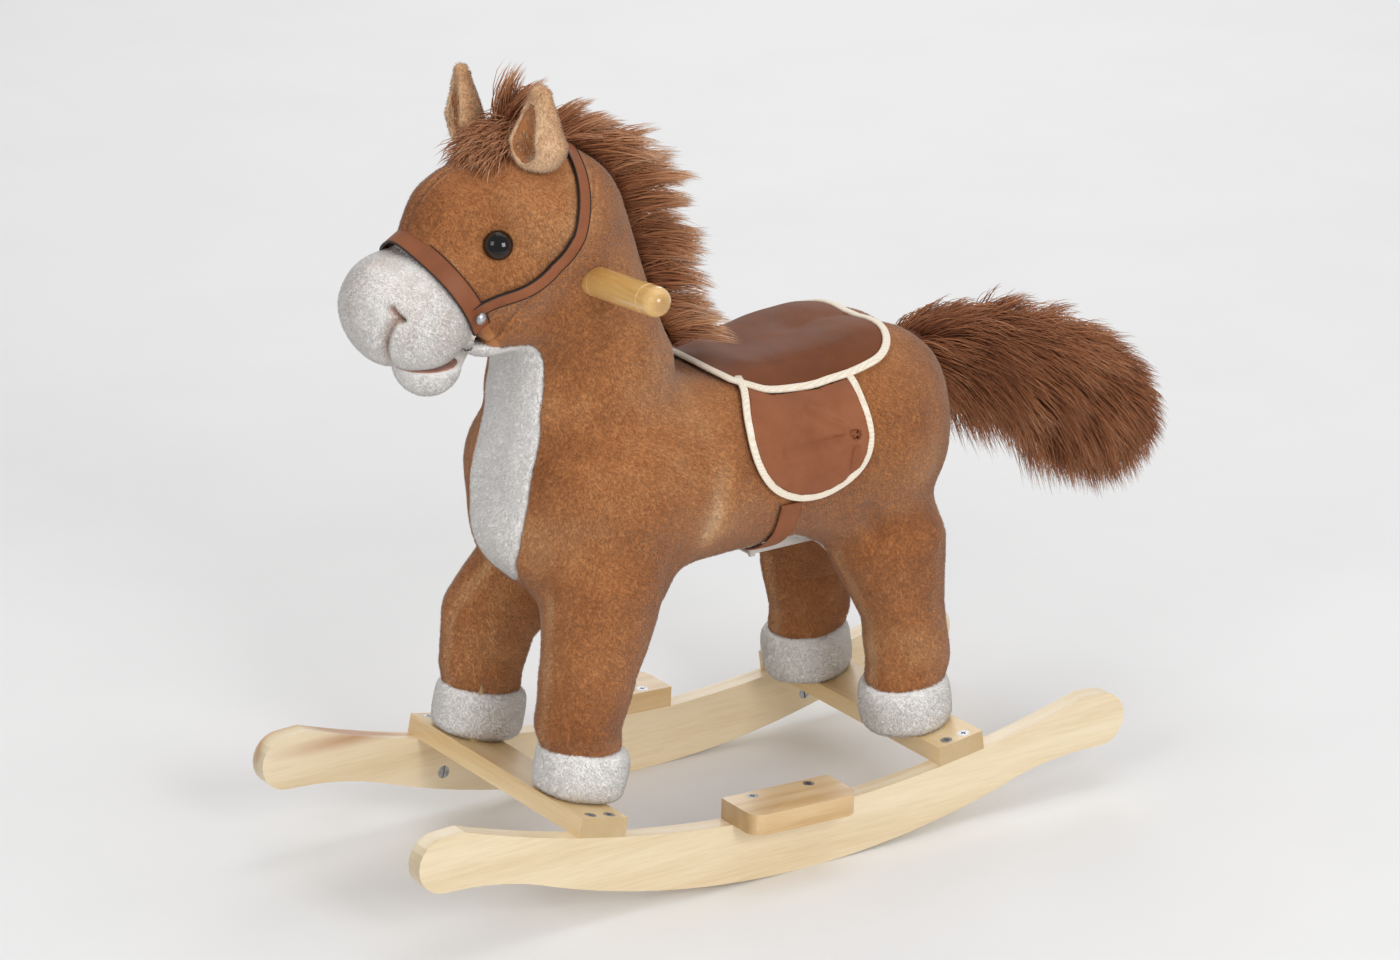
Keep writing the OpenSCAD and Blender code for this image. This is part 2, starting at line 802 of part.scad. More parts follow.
tail_pivot = [0, 168, 333];
tail_lug_t = 6;
tail_lug_in = 12;
tail_hub_r = 7;
tail_hub_gap = 0.4;
tail_box_at = [-21, 118, 308];
tail_box_size = [42, 34, 50];
module tail_space() {
  translate([-23, 118, 306]) cube([46, 36, 56]);
  translate([-13, 152, 312]) cube([26, 60, 42]);
}
module tail_gearbox() {
  color(dark_plastic) place() difference() {
    union() {
      translate(tail_box_at) cube(tail_box_size);
      for (s = [-1, 1])
        translate([-8, 151, tail_pivot[2] + (s > 0 ? tail_lug_in : -tail_lug_in - tail_lug_t)])
          cube([16, 24, tail_lug_t]);
    }
    translate(tail_pivot) cylinder(r = shaft_r + shaft_gap, h = bore_l, center = true);
  }
}
module tail_shaft() {
  color(steel) place() translate(tail_pivot)
    cylinder(r = shaft_r, h = 2 * (tail_lug_in + tail_lug_t), center = true);
}
tail_arm_r = 5;
tail_arm_end = 300;
tail_drop = 14;
module tail_rod()
  translate(tail_pivot) rotate([-90 - tail_drop, 0, 0])
    cylinder(r = tail_arm_r, h = tail_arm_end - tail_pivot[1]);
module tail_arm() {
  hub = tail_lug_in - tail_hub_gap;
  color(dark_plastic) place() difference() {
    union() {
      translate(tail_pivot) cylinder(r = tail_hub_r, h = 2 * hub, center = true);
      tail_rod();
    }
    translate(tail_pivot) cylinder(r = shaft_r, h = bore_l, center = true);
  }
}
module tail_hair() {
  color(hair_brown) place() difference() {
    union() {
      hull() {
        ball([0, 214, 324], 31);
        ball([0, 290, 300], 55);
      }
      hull() {
        ball([0, 290, 300], 55);
        ball([0, 365, 270], 57);
        ball([0, tail_tip_y - 22, 258], 22);
      }
    }
    tail_rod();
  }
}

// ---------- sound and batteries ----------

module sound_space() translate([-30, -66, belly_top]) cube([60, 60, 24]);
module sound_module() {
  speaker_r = 20;
  color(dark_plastic) place() {
    translate([-27, -63, belly_top + 8]) cube([54, 54, 14]);
    translate([0, -36, belly_top + 0.5]) cylinder(r = speaker_r, h = 8);
  }
}

box_half = 27;
box_y0 = 30;
box_y1 = 90;
box_z0 = 217;
box_z1 = 240;
box_wall = 2;
cover_t = 3;
box_gap = 0.5;
module battery_space()
  translate([-box_half - box_gap, box_y0 - box_gap, box_z0 - big])
    cube([2 * (box_half + box_gap), box_y1 - box_y0 + 2 * box_gap, big + box_z1 - box_z0 + box_gap]);
// The cover's pins turn in two cheeks below the box.
cover_half = 24;
cover_gap = 0.3;
hinge_at = [box_y0 + cover_t / 2, box_z0 - cover_gap - cover_t / 2];
pin_r = 1;
pin_end = 26.5;
cheek_gap = 0.4;
hinge_cheek = [4.5, 4];
module hinge_line() translate([0, hinge_at[0], hinge_at[1]]) rotate([0, 90, 0]) children();
module battery_box() {
  cheek_in = cover_half + cheek_gap;
  color(dark_plastic) place() difference() {
    union() {
      translate([-box_half, box_y0, box_z0]) cube([2 * box_half, box_y1 - box_y0, box_z1 - box_z0]);
      for (s = [-1, 1])
        translate([s > 0 ? cheek_in : -box_half, box_y0, box_z0 - hinge_cheek[1]])
          cube([box_half - cheek_in, hinge_cheek[0], hinge_cheek[1] + 1]);
    }
    translate([-box_half + box_wall, box_y0 + box_wall, box_z0 - 1])
      cube([2 * (box_half - box_wall), box_y1 - box_y0 - 2 * box_wall, box_z1 - box_z0 - box_wall + 1]);
    hinge_line() cylinder(r = pin_r + shaft_gap, h = 2 * pin_end + cheek_gap, center = true);
  }
}
cell_r = 7.1;
cell_l = 50;
cell_pitch = 15.5;
knob_r = 2.6;
knob_l = 1.5;
module batteries() {
  color("goldenrod") place() for (i = [-1:1])
    translate([i * cell_pitch, box_y0 + 4, box_z1 - box_wall - cell_r - 0.5]) rotate([-90, 0, 0]) {
      cylinder(r = cell_r, h = cell_l - knob_l);
      translate([0, 0, cell_l - knob_l - eps]) cylinder(r = knob_r, h = knob_l);
    }
}
module battery_cover() {
  color(dark_plastic) place() {
    translate([-cover_half, hinge_at[0], hinge_at[1] - cover_t / 2])
      cube([2 * cover_half, box_y1 - hinge_at[0], cover_t]);
    hinge_line() cylinder(r = cover_t / 2, h = 2 * cover_half, center = true);
    hinge_line() cylinder(r = pin_r, h = 2 * pin_end, center = true);
  }
}

// ---------- sub-parts ----------

module rocker_left() rocker(1);
module rocker_right() rocker(-1);
module crossbar_front() crossbar(-1);
module crossbar_rear() crossbar(1);
module footrest_left() footrest(1);
module footrest_right() footrest(-1);
module post_front_left() post(-1, 1);
module post_front_right() post(-1, -1);
module post_rear_left() post(1, 1);
module post_rear_right() post(1, -1);
module body_board_left() body_board(1);
module body_board_right() body_board(-1);
module handle_left() handle(1);
module handle_right() handle(-1);
module leg_front_left() leg(-1, 1);
module leg_front_right() leg(-1, -1);
module leg_rear_left() leg(1, 1);
module leg_rear_right() leg(1, -1);
module hoof_front_left() hoof(-1, 1);
module hoof_front_right() hoof(-1, -1);
module hoof_rear_left() hoof(1, 1);
module hoof_rear_right() hoof(1, -1);
module ear_left() ear(1);
module ear_right() ear(-1);
module saddle_flap_left() saddle_flap(1);
module saddle_flap_right() saddle_flap(-1);

rocker_left();
rocker_right();
crossbar_front();
crossbar_rear();
footrest_left();
footrest_right();
wood_screws();
crossbar_bolts();
barrel_nuts();
post_front_left();
post_front_right();
post_rear_left();
post_rear_right();
post_screws();
body_board_left();
body_board_right();
body_cross_blocks();
seat_board();
neck_board();
handle_left();
handle_right();
plush_body();
plush_head();
muzzle();
chest_bib();
belly_panel();
leg_front_left();
leg_front_right();
leg_rear_left();
leg_rear_right();
hoof_front_left();
hoof_front_right();
hoof_rear_left();
hoof_rear_right();
ear_left();
ear_right();
eyes();
mane();
forelock();
saddle_seat();
saddle_flap_left();
saddle_flap_right();
saddle_piping();
girth_strap();
noseband();
cheek_strap();
bridle_rivets();
jaw_gearbox();
jaw_shaft();
jaw_lever();
lower_jaw();
tail_gearbox();
tail_shaft();
tail_arm();
tail_hair();
battery_box();
battery_cover();
batteries();
sound_module();
ear_button();
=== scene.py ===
"""Plush rocking horse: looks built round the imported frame.

Plush shapes are drawn as distance fields in millimetres, in the drawing frame of the horse:
+Z up, nose towards -Y, y = 0 midway between the rocker tips. place() turns that into the
row frame in metres.
"""
import itertools
import math

import bpy
import numpy as np
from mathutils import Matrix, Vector


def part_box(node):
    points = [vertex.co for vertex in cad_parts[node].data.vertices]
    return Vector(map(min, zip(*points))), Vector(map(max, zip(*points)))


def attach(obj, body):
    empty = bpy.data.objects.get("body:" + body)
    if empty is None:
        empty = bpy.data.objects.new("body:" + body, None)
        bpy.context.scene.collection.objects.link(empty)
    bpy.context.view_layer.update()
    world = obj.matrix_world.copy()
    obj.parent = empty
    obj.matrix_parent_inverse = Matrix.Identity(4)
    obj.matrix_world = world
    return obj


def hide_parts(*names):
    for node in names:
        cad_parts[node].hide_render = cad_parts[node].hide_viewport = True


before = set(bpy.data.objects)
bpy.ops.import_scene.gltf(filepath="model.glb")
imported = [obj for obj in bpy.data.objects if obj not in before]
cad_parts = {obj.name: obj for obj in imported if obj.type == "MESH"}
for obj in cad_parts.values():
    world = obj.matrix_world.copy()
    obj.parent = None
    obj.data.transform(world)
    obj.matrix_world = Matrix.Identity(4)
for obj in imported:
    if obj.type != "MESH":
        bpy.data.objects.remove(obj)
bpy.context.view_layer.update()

SHIFT_Y = -60.0
MM = 0.001


def place(points):
    """Drawing millimetres to row-frame metres."""
    return (np.asarray(points, float) + (0, SHIFT_Y, 0)) * MM


def drawing(point):
    """Row-frame metres to drawing millimetres."""
    return np.array(point, float) / MM - (0, SHIFT_Y, 0)


def node_centre(name):
    lo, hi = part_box(name)
    return drawing((lo + hi) / 2)


def unit(v):
    v = np.asarray(v, float)
    return v / np.maximum(np.linalg.norm(v, axis=-1, keepdims=True), 1e-9)


# ---------- distance fields ----------


def spread(p, half):
    """Widens whatever is measured next by half to each side of the middle plane."""
    q = p.copy()
    q[:, 0] = np.maximum(np.abs(p[:, 0]) - half, 0)
    return q


def mirrored(p):
    q = p.copy()
    q[:, 0] = np.abs(p[:, 0])
    return q


def cone(p, a, b, ra, rb):
    """A rod with round ends, of radius ra at a and rb at b."""
    a, b = np.asarray(a, float), np.asarray(b, float)
    ab = b - a
    t = np.clip((p - a) @ ab / (ab @ ab), 0, 1)
    return np.linalg.norm(p - a - t[:, None] * ab, axis=1) - (ra + (rb - ra) * t)


def chain(p, stops):
    """A row of cones through (x, y, z, r) stops."""
    parts = [cone(p, s[:3], e[:3], s[3], e[3]) for s, e in zip(stops, stops[1:])]
    return np.minimum.reduce(parts)


def ellipsoid(p, centre, radii, tilt=0.0):
    """tilt turns it nose down about the x axis, in degrees."""
    q = p - np.asarray(centre, float)
    if tilt:
        c, s = math.cos(math.radians(tilt)), math.sin(math.radians(tilt))
        q = np.stack([q[:, 0], c * q[:, 1] - s * q[:, 2], s * q[:, 1] + c * q[:, 2]], 1)
    r = np.asarray(radii, float)
    k0 = np.linalg.norm(q / r, axis=1)
    k1 = np.maximum(np.linalg.norm(q / (r * r), axis=1), 1e-9)
    return k0 * (k0 - 1) / k1


def join(a, b, k):
    """Union with a fillet of about k."""
    h = np.clip(0.5 + 0.5 * (b - a) / k, 0, 1)
    return b + (a - b) * h - k * h * (1 - h)


def both(a, b, k):
    """Intersection with an edge rounded by about k."""
    return -join(-a, -b, k)


def plane(p, point, normal):
    return (p - np.asarray(point, float)) @ np.asarray(normal, float)


def outline(u, v, corners):
    """Signed distance in a plane to a closed outline."""
    c = np.asarray(corners, float)
    best = np.full(len(u), 1e9)
    inside = np.zeros(len(u), bool)
    for (x0, y0), (x1, y1) in zip(c, np.roll(c, -1, axis=0)):
        ex, ey = x1 - x0, y1 - y0
        t = np.clip(((u - x0) * ex + (v - y0) * ey) / (ex * ex + ey * ey), 0, 1)
        best = np.minimum(best, (u - x0 - t * ex) ** 2 + (v - y0 - t * ey) ** 2)
        if y0 != y1:
            crosses = (y0 > v) != (y1 > v)
            inside ^= crosses & (u < x0 + (v - y0) * ex / ey)
    return np.where(inside, -1, 1) * np.sqrt(best)


def to_path(p, stops):
    """Distance to a line through the stops."""
    return chain(p, [(*s, 0.0) for s in stops])


def lattice(ix, iy, iz, seed):
    h = (ix * 374761393 + iy * 668265263 + iz * 2147483647 + seed * 1274126177) & 0xFFFFFFFF
    h = ((h ^ (h >> 13)) * 1274126177) & 0xFFFFFFFF
    return ((h ^ (h >> 16)) & 0xFFFF) / 65535.0


def noise(p, size, seed=0):
    """Smooth noise from 0 to 1 whose bumps are about size across."""
    q = np.asarray(p, float) / size + 1000.0
    i = np.floor(q).astype(np.int64)
    f = q - i
    f = f * f * (3 - 2 * f)
    out = np.zeros(len(q))
    for dx, dy, dz in itertools.product((0, 1), repeat=3):
        w = np.where(dx, f[:, 0], 1 - f[:, 0])
        w = w * np.where(dy, f[:, 1], 1 - f[:, 1])
        w = w * np.where(dz, f[:, 2], 1 - f[:, 2])
        out += w * lattice(i[:, 0] + dx, i[:, 1] + dy, i[:, 2] + dz, seed)
    return out


def bump(d, width):
    """A bell of height 1 at distance 0."""
    return np.exp(-((d / width) ** 2))


def slope(field, p, h=0.4):
    """Outward direction of a field at each point."""
    cols = []
    for axis in range(3):
        step = np.zeros(3)
        step[axis] = h
        cols.append(field(p + step) - field(p - step))
    return unit(np.stack(cols, 1))


def settle(field, p, level=0.0, turns=4):
    """Moves points along the slope on to the surface field = level."""
    p = np.array(p, float)
    for _ in range(turns):
        n = slope(field, p)
        ahead = field(p) - level
        behind = field(p - n * 0.5) - level
        rate = np.clip((ahead - behind) / 0.5, 0.35, 1.5)
        p -= n * np.clip(ahead / rate, -3, 3)[:, None]
    return p


COARSE = 4  # grid steps between the coarse samples
NEAR = 7  # grid steps from the surface within which every point is sampled


def sampled(field, lo, n, step):
    """Field on a grid: exact near the surface, and the nearest coarse sample elsewhere."""
    rough = [np.arange(0, k + COARSE, COARSE) for k in n]
    grid = np.stack(np.meshgrid(*rough, indexing="ij"), -1)
    value = field(lo + step * grid.reshape(-1, 3)).reshape(grid.shape[:3])
    nearest = [np.minimum((np.arange(k) + COARSE // 2) // COARSE, len(r) - 1) for k, r in zip(n, rough)]
    f = value[np.ix_(*nearest)]
    near = np.argwhere(np.abs(f) < NEAR * step)
    f[tuple(near.T)] = field(lo + step * near)
    return f


def surface(field, lo, hi, step):
    """Closed quad mesh of field = 0 inside the box from lo to hi."""
    lo, hi = np.asarray(lo, float), np.asarray(hi, float)
    n = np.ceil((hi - lo) / step).astype(int) + 1
    f = sampled(field, lo, n, step)
    inside = f < 0
    cells = tuple(n - 1)
    total, count = np.zeros(cells + (3,)), np.zeros(cells)
    for axis in range(3):
        along = np.zeros(3, int)
        along[axis] = 1
        others = [a for a in range(3) if a != axis]
        for i, j in itertools.product((0, 1), repeat=2):
            start = np.zeros(3, int)
            start[others[0]], start[others[1]] = i, j
            end = start + along
            cut = [tuple(slice(o[a], o[a] + cells[a]) for a in range(3)) for o in (start, end)]
            a, b = f[cut[0]], f[cut[1]]
            crosses = (a < 0) != (b < 0)
            t = np.where(crosses, a / np.where(crosses, a - b, 1), 0)
            total += crosses[..., None] * (start + t[..., None] * along)
            count += crosses
    live = count > 0
    index = np.full(cells, -1)
    index[live] = np.arange(live.sum())
    where = np.argwhere(live)
    verts = lo + step * (where + total[live] / count[live][:, None])
    faces = []
    for axis in range(3):
        o1, o2 = (axis + 1) % 3, (axis + 2) % 3
        a = np.moveaxis(inside, (axis, o1, o2), (0, 1, 2))
        ids = np.moveaxis(index, (axis, o1, o2), (0, 1, 2))
        a0, a1 = a[:-1, 1:-1, 1:-1], a[1:, 1:-1, 1:-1]
        quad = np.stack([ids[:, :-1, :-1], ids[:, 1:, :-1], ids[:, 1:, 1:], ids[:, :-1, 1:]], -1)
        out, back = a0 & ~a1, ~a0 & a1
        faces += [quad[out], quad[back][:, ::-1]]
    faces = np.concatenate(faces)
    return settle(field, verts, turns=3), faces


# ---------- pieces ----------


def mesh_piece(name, verts, faces, material, tone=None, uv=None):
    """A mesh object from drawing points in millimetres."""
    mesh = bpy.data.meshes.new(name)
    faces = np.asarray(faces)
    count, sides = faces.shape
    co = place(verts).astype(np.float32)
    mesh.vertices.add(len(co))
    mesh.vertices.foreach_set("co", co.ravel())
    mesh.loops.add(count * sides)
    mesh.loops.foreach_set("vertex_index", faces.ravel().astype(np.int32))
    mesh.polygons.add(count)
    mesh.polygons.foreach_set("loop_start", np.arange(0, count * sides, sides, dtype=np.int32))
    mesh.update(calc_edges=True)
    mesh.polygons.foreach_set("use_smooth", np.ones(count, bool))
    if tone is not None:
        layer = mesh.attributes.new("tone", "FLOAT", "POINT")
        layer.data.foreach_set("value", np.asarray(tone, np.float32))
    if uv is not None:
        layer = mesh.uv_layers.new(name="OFBake")
        layer.data.foreach_set("uv", uv[faces.ravel()].astype(np.float32).ravel())
    mesh.materials.append(material)
    mesh.validate()
    piece = bpy.data.objects.new(name, mesh)
    bpy.context.scene.collection.objects.link(piece)
    return piece


def field_piece(name, field, box, step, material, tone=None):
    verts, faces = surface(field, *box, step)
    values = None if tone is None else tone(verts)
    return mesh_piece(name, verts, faces, material, tone=values)


def dress(piece, replaced=(), body="horse"):
    """Hides the CAD nodes a piece stands for and puts it on the body it rides on."""
    if replaced:
        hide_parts(*replaced)
    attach(piece, body)
    return piece


def strands(name, paths, radii, tones, material, seed):
    """Closed three-sided hairs. paths is (hairs, points, 3), radii has one value per point."""
    count, points = paths.shape[:2]
    rng = np.random.default_rng(seed)
    ahead = unit(paths[:, 1:] - paths[:, :-1])
    ahead = np.concatenate([ahead, ahead[:, -1:]], 1)
    side = unit(np.cross(ahead, unit(rng.normal(size=(count, 1, 3)))))
    other = np.cross(ahead, side)
    rings = points - 1
    turn = np.radians([0, 120, 240])
    ring = (
        side[:, :rings, None] * np.cos(turn)[:, None] + other[:, :rings, None] * np.sin(turn)[:, None]
    ) * np.asarray(radii)[None, :rings, None, None]
    ring = paths[:, :rings, None] + ring
    verts = np.concatenate([ring.reshape(count, rings * 3, 3), paths[:, -1:]], 1)
    size = rings * 3 + 1
    one = [(2, 1, 0)]
    for r in range(rings - 1):
        for s in range(3):
            a, b = r * 3 + s, r * 3 + (s + 1) % 3
            one += [(a, b, b + 3), (a, b + 3, a + 3)]
    top = (rings - 1) * 3
    one += [(top + s, top + (s + 1) % 3, size - 1) for s in range(3)]
    faces = (np.array(one)[None] + (np.arange(count) * size)[:, None, None]).reshape(-1, 3)
    along = np.append(np.repeat(np.arange(rings) / rings, 3), 1.0)
    uv = np.stack(np.broadcast_arrays(np.asarray(tones)[:, None], along[None]), -1).reshape(-1, 2)
    return mesh_piece(name, verts.reshape(-1, 3), faces, material, uv=np.clip(uv, 0.01, 0.99))


def scatter(verts, faces, count, seed):
    """Random points spread evenly over a quad mesh."""
    tri = np.concatenate([faces[:, [0, 1, 2]], faces[:, [0, 2, 3]]])
    a, b, c = verts[tri[:, 0]], verts[tri[:, 1]], verts[tri[:, 2]]
    area = np.linalg.norm(np.cross(b - a, c - a), axis=1)
    rng = np.random.default_rng(seed)
    pick = rng.choice(len(tri), count, p=area / area.sum())
    u, v = rng.random(count), rng.random(count)
    flip = u + v > 1
    u[flip], v[flip] = 1 - u[flip], 1 - v[flip]
    return a[pick] + u[:, None] * (b - a)[pick] + v[:, None] * (c - a)[pick]


def area_of(verts, faces):
    a, b, c, d = (verts[faces[:, i]] for i in range(4))
    return 0.5 * (
        np.linalg.norm(np.cross(b - a, c - a), axis=1).sum()
        + np.linalg.norm(np.cross(c - a, d - a), axis=1).sum()
    )


MOST_PER_PIECE = 45000  # hairs, which keeps a piece of pile under 200 000 triangles


def fur(name, field, verts, faces, look, material, tone, keep=None, seed=1):
    """Short pile over a surface: look is (area of skin per tuft, length, radius)."""
    each, length, radius = look
    count = int(area_of(verts, faces) / each)
    roots = scatter(verts, faces, count, seed)
    if keep is not None:
        roots = roots[keep(roots)]
    rng = np.random.default_rng(seed + 1)
    n = slope(field, roots)
    lay = combed(roots, n)
    swirl = rng.normal(size=roots.shape) * 0.2
    lean = unit(lay + swirl - n * np.sum(swirl * n, 1)[:, None])
    long = length * rng.uniform(0.75, 1.15, len(roots))[:, None]
    paths = np.stack([roots - 0.6 * n, roots + long * (0.5 * n + 0.8 * lean)], 1)
    tones = tone(roots) + rng.normal(size=len(roots)) * 0.03
    pieces = []
    for k, start in enumerate(range(0, len(roots), MOST_PER_PIECE)):
        part = slice(start, start + MOST_PER_PIECE)
        label = f"{name}_{k + 1}"
        pieces.append(strands(label, paths[part], [radius], tones[part], material, seed + k))
    return pieces


def combed(p, n):
    """Direction in which the pile lies: back along the body and down the legs."""
    away = np.tile(np.array([0.0, 0.55, -0.85]), (len(p), 1))
    return unit(away - n * np.sum(away * n, 1)[:, None])


# ---------- materials ----------


class Look:
    """A node material with short calls for the nodes used here."""

    def __init__(self, name):
        self.mat = bpy.data.materials.new(name)
        self.mat.use_nodes = True
        self.tree = self.mat.node_tree
        self.shader = self.tree.nodes["Principled BSDF"]
        self.coords = self.tree.nodes.new("ShaderNodeTexCoord").outputs["Object"]

    def feed(self, socket, value):
        """Links another node's output to the socket, or sets a constant on it."""
        if isinstance(value, bpy.types.NodeSocket):
            self.tree.links.new(value, socket)
        else:
            socket.default_value = value

    def node(self, kind, **inputs):
        n = self.tree.nodes.new("ShaderNode" + kind)
        for key, value in inputs.items():
            self.feed(n.inputs[key.replace("_", " ")], value)
        return n

    def tone(self):
        """Shade stored on the mesh's points."""
        n = self.node("Attribute")
        n.attribute_name = "tone"
        return n.outputs["Fac"]

    def stretched(self, scale, turn=(0, 0, 0)):
        n = self.node("Mapping", Vector=self.coords, Scale=scale)
        n.inputs["Rotation"].default_value = [math.radians(a) for a in turn]
        return n.outputs[0]

    def noise(self, scale, vector=None, detail=3.0, roughness=0.55):
        vector = vector or self.coords
        n = self.node("TexNoise", Vector=vector, Scale=scale, Detail=detail, Roughness=roughness)
        return n.outputs["Fac"]

    def ramp(self, fac, stops):
        n = self.node("ValToRGB", Fac=fac)
        bar = n.color_ramp.elements
        while len(bar) < len(stops):
            bar.new(0.5)
        for element, (at, colour) in zip(bar, stops):
            element.position = at
            element.color = (*colour, 1)
        return n.outputs["Color"]

    def math(self, kind, a, b):
        n = self.node("Math")
        n.operation = kind
        self.feed(n.inputs[0], a)
        self.feed(n.inputs[1], b)
        return n.outputs[0]

    def mix(self, fac, a, b):
        n = self.node("Mix")
        n.data_type = "RGBA"
        for key, value in ((0, fac), (6, a), (7, b)):
            self.feed(n.inputs[key], (*value, 1) if isinstance(value, tuple) else value)
        return n.outputs[2]

    def grade(self, value, low, high, to_low=0.0, to_high=1.0):
        n = self.node("MapRange")
        for socket, v in zip(n.inputs, (value, low, high, to_low, to_high)):
            self.feed(socket, v)
        return n.outputs[0]

    def raise_by(self, height, distance, strength=1.0):
        n = self.node("Bump", Height=height, Distance=distance, Strength=strength)
        self.tree.links.new(n.outputs[0], self.shader.inputs["Normal"])

    def base(self, colour):
        self.tree.links.new(colour, self.shader.inputs["Base Color"])

    def rough(self, value):
        self.tree.links.new(value, self.shader.inputs["Roughness"])

    def set(self, **constants):
        for key, value in constants.items():
            self.shader.inputs[key.replace("_", " ")].default_value = value
        return self


def srgb(*values):
    """Colour from 0-255 display values to linear."""
    v = np.array(values, float) / 255
    return tuple(np.where(v <= 0.04045, v / 12.92, ((v + 0.055) / 1.055) ** 2.4))


PILE_BROWN = [
    (0.0, srgb(112, 66, 37)), (0.3, srgb(156, 98, 57)), (0.55, srgb(184, 124, 77)),
    (0.78, srgb(206, 155, 108)), (1.0, srgb(232, 195, 154)),
]
PILE_WHITE = [
    (0.0, srgb(184, 146, 128)), (0.22, srgb(224, 214, 207)), (0.42, srgb(242, 239, 236)),
    (1.0, srgb(250, 248, 246)),
]
PILE_TAN = [
    (0.0, srgb(130, 88, 55)), (0.4, srgb(182, 136, 96)), (0.7, srgb(208, 166, 126)),
    (1.0, srgb(232, 198, 162)),
]
HAIR = [
    (0.0, srgb(74, 38, 20)), (0.3, srgb(124, 71, 42)), (0.6, srgb(170, 110, 72)),
    (0.85, srgb(206, 152, 112)), (1.0, srgb(232, 192, 158)),
]


LEATHER = [(0.3, srgb(128, 73, 43)), (0.5, srgb(140, 82, 50)), (0.72, srgb(150, 91, 58))]
CREAM = [(0.0, srgb(222, 208, 184)), (0.5, srgb(238, 227, 208)), (1.0, srgb(248, 240, 226))]


def skin_look(name, stops):
    """Backing cloth with a fine nap, shaded by the mesh's tone attribute."""
    look = Look(name)
    nap = look.noise(420, look.stretched((1, 1, 0.45)), 4, 0.7)
    shade = look.math("ADD", look.tone(), look.grade(nap, 0.3, 0.7, -0.06, 0.05))
    look.base(look.ramp(shade, stops))
    look.raise_by(look.noise(650, look.stretched((1, 1, 0.4)), 3, 0.6), 0.0008, 0.35)
    return look.set(Roughness=0.95, Sheen_Weight=0.2, Sheen_Roughness=0.5, Specular_IOR_Level=0.15).mat


def strand_look(name, stops, root_shade, sheen=0.22, gloss=0.75):
    """Hair whose map gives its own tone across and the way from base to tip upwards, with painted shade
    darkening the base.
    """
    look = Look(name)
    uv = look.node("UVMap")
    uv.uv_map = "OFBake"
    parts = look.node("SeparateXYZ", Vector=uv.outputs[0])
    # painted shade: each hair is darkened towards its base, where it lies under the others, and lightened
    # towards its tip
    along = look.grade(parts.outputs["Y"], 0.0, 1.0, -root_shade, root_shade * 0.75)
    look.base(look.ramp(look.math("ADD", parts.outputs["X"], along), stops))
    return look.set(Roughness=gloss, Sheen_Weight=sheen, Sheen_Roughness=0.4, Specular_IOR_Level=0.2).mat


def leather_look(name, shade_scale, shine, rough):
    """Leatherette; the second argument multiplies its colours, and below 1 it makes a copy darkened as
    painted shade.
    """
    look = Look(name)
    patch = look.noise(26, None, 4, 0.6)
    shades = [(at, tuple(shade_scale * c for c in colour)) for at, colour in LEATHER]
    look.base(look.ramp(patch, shades))
    cells = look.node("TexVoronoi", Vector=look.coords, Scale=1100.0).outputs["Distance"]
    grain = look.math("ADD", cells, look.noise(700, None, 2))
    look.raise_by(grain, 0.00022, 0.55)
    look.rough(look.grade(patch, 0.3, 0.7, rough, rough + 0.12))
    return look.set(Specular_IOR_Level=shine).mat


def binding_look():
    look = Look("woven_binding")
    weave = look.node("TexWave", Vector=look.stretched((1, 1, 1), (20, 35, 10)), Scale=330.0, Distortion=2.0)
    fibre = look.noise(900, None, 3)
    threads = look.grade(weave.outputs["Fac"], 0, 1, 0, 0.5)
    shade = look.math("ADD", threads, look.grade(fibre, 0.3, 0.7, 0, 0.5))
    look.base(look.ramp(shade, CREAM))
    look.raise_by(shade, 0.0003, 0.45)
    return look.set(Roughness=0.85, Sheen_Weight=0.2, Specular_IOR_Level=0.2).mat


def wood_look(name, stops, gloss, coat, along="y", seed=0.0, streaks=()):
    """Sawn board: long fibres, faint growth rings, darker end grain, and heartwood streaks, each as
    (centre in mm, 1 / half length in m along each axis, colour)."""
    look = Look(name)
    slow = {"x": (0.05, 1, 1), "y": (1, 0.05, 1), "z": (1, 1, 0.05)}[along]
    apart = (seed, seed * 0.7, seed * 1.3)
    grain = look.node("Mapping", Vector=look.coords, Scale=slow, Location=apart).outputs[0]
    rings = look.node("TexWave", Vector=grain, Scale=19.0, Distortion=7.0, Detail=2.0, Detail_Scale=1.4)
    rings = rings.outputs["Fac"]
    fibre = look.noise(520, grain, 4, 0.65)
    broad = look.noise(34, grain, 3, 0.5)
    shade = look.math("ADD", look.grade(rings, 0, 1, 0, 0.3), look.grade(fibre, 0.3, 0.7, 0, 0.28))
    shade = look.math("ADD", shade, look.grade(broad, 0.3, 0.7, 0.0, 0.45))
    colour = look.ramp(shade, stops)
    for centre, reach, dark in streaks:
        gap = look.node("VectorMath")
        gap.operation = "DISTANCE"
        look.feed(gap.inputs[0], look.node("Mapping", Vector=look.coords, Scale=reach).outputs[0])
        look.feed(gap.inputs[1], [c * s for c, s in zip(place(centre), reach)])
        wavy = look.math("ADD", gap.outputs["Value"], look.grade(rings, 0, 1, -0.35, 0.35))
        colour = look.mix(look.grade(wavy, 1.0, 0.35, 0.0, 0.85), colour, dark)
    facing = look.node("SeparateXYZ", Vector=look.node("NewGeometry").outputs["Normal"])
    square = look.math("ABSOLUTE", facing.outputs[along.upper()], 0.0)
    colour = look.mix(look.grade(square, 0.6, 0.97, 0.0, 0.6), colour, tuple(0.62 * c for c in stops[0][1]))
    look.base(colour)
    look.raise_by(fibre, 0.00012, 0.5)
    look.rough(look.grade(fibre, 0.3, 0.7, gloss - 0.06, gloss + 0.06))
    return look.set(Coat_Weight=coat, Coat_Roughness=0.22, Specular_IOR_Level=0.45).mat


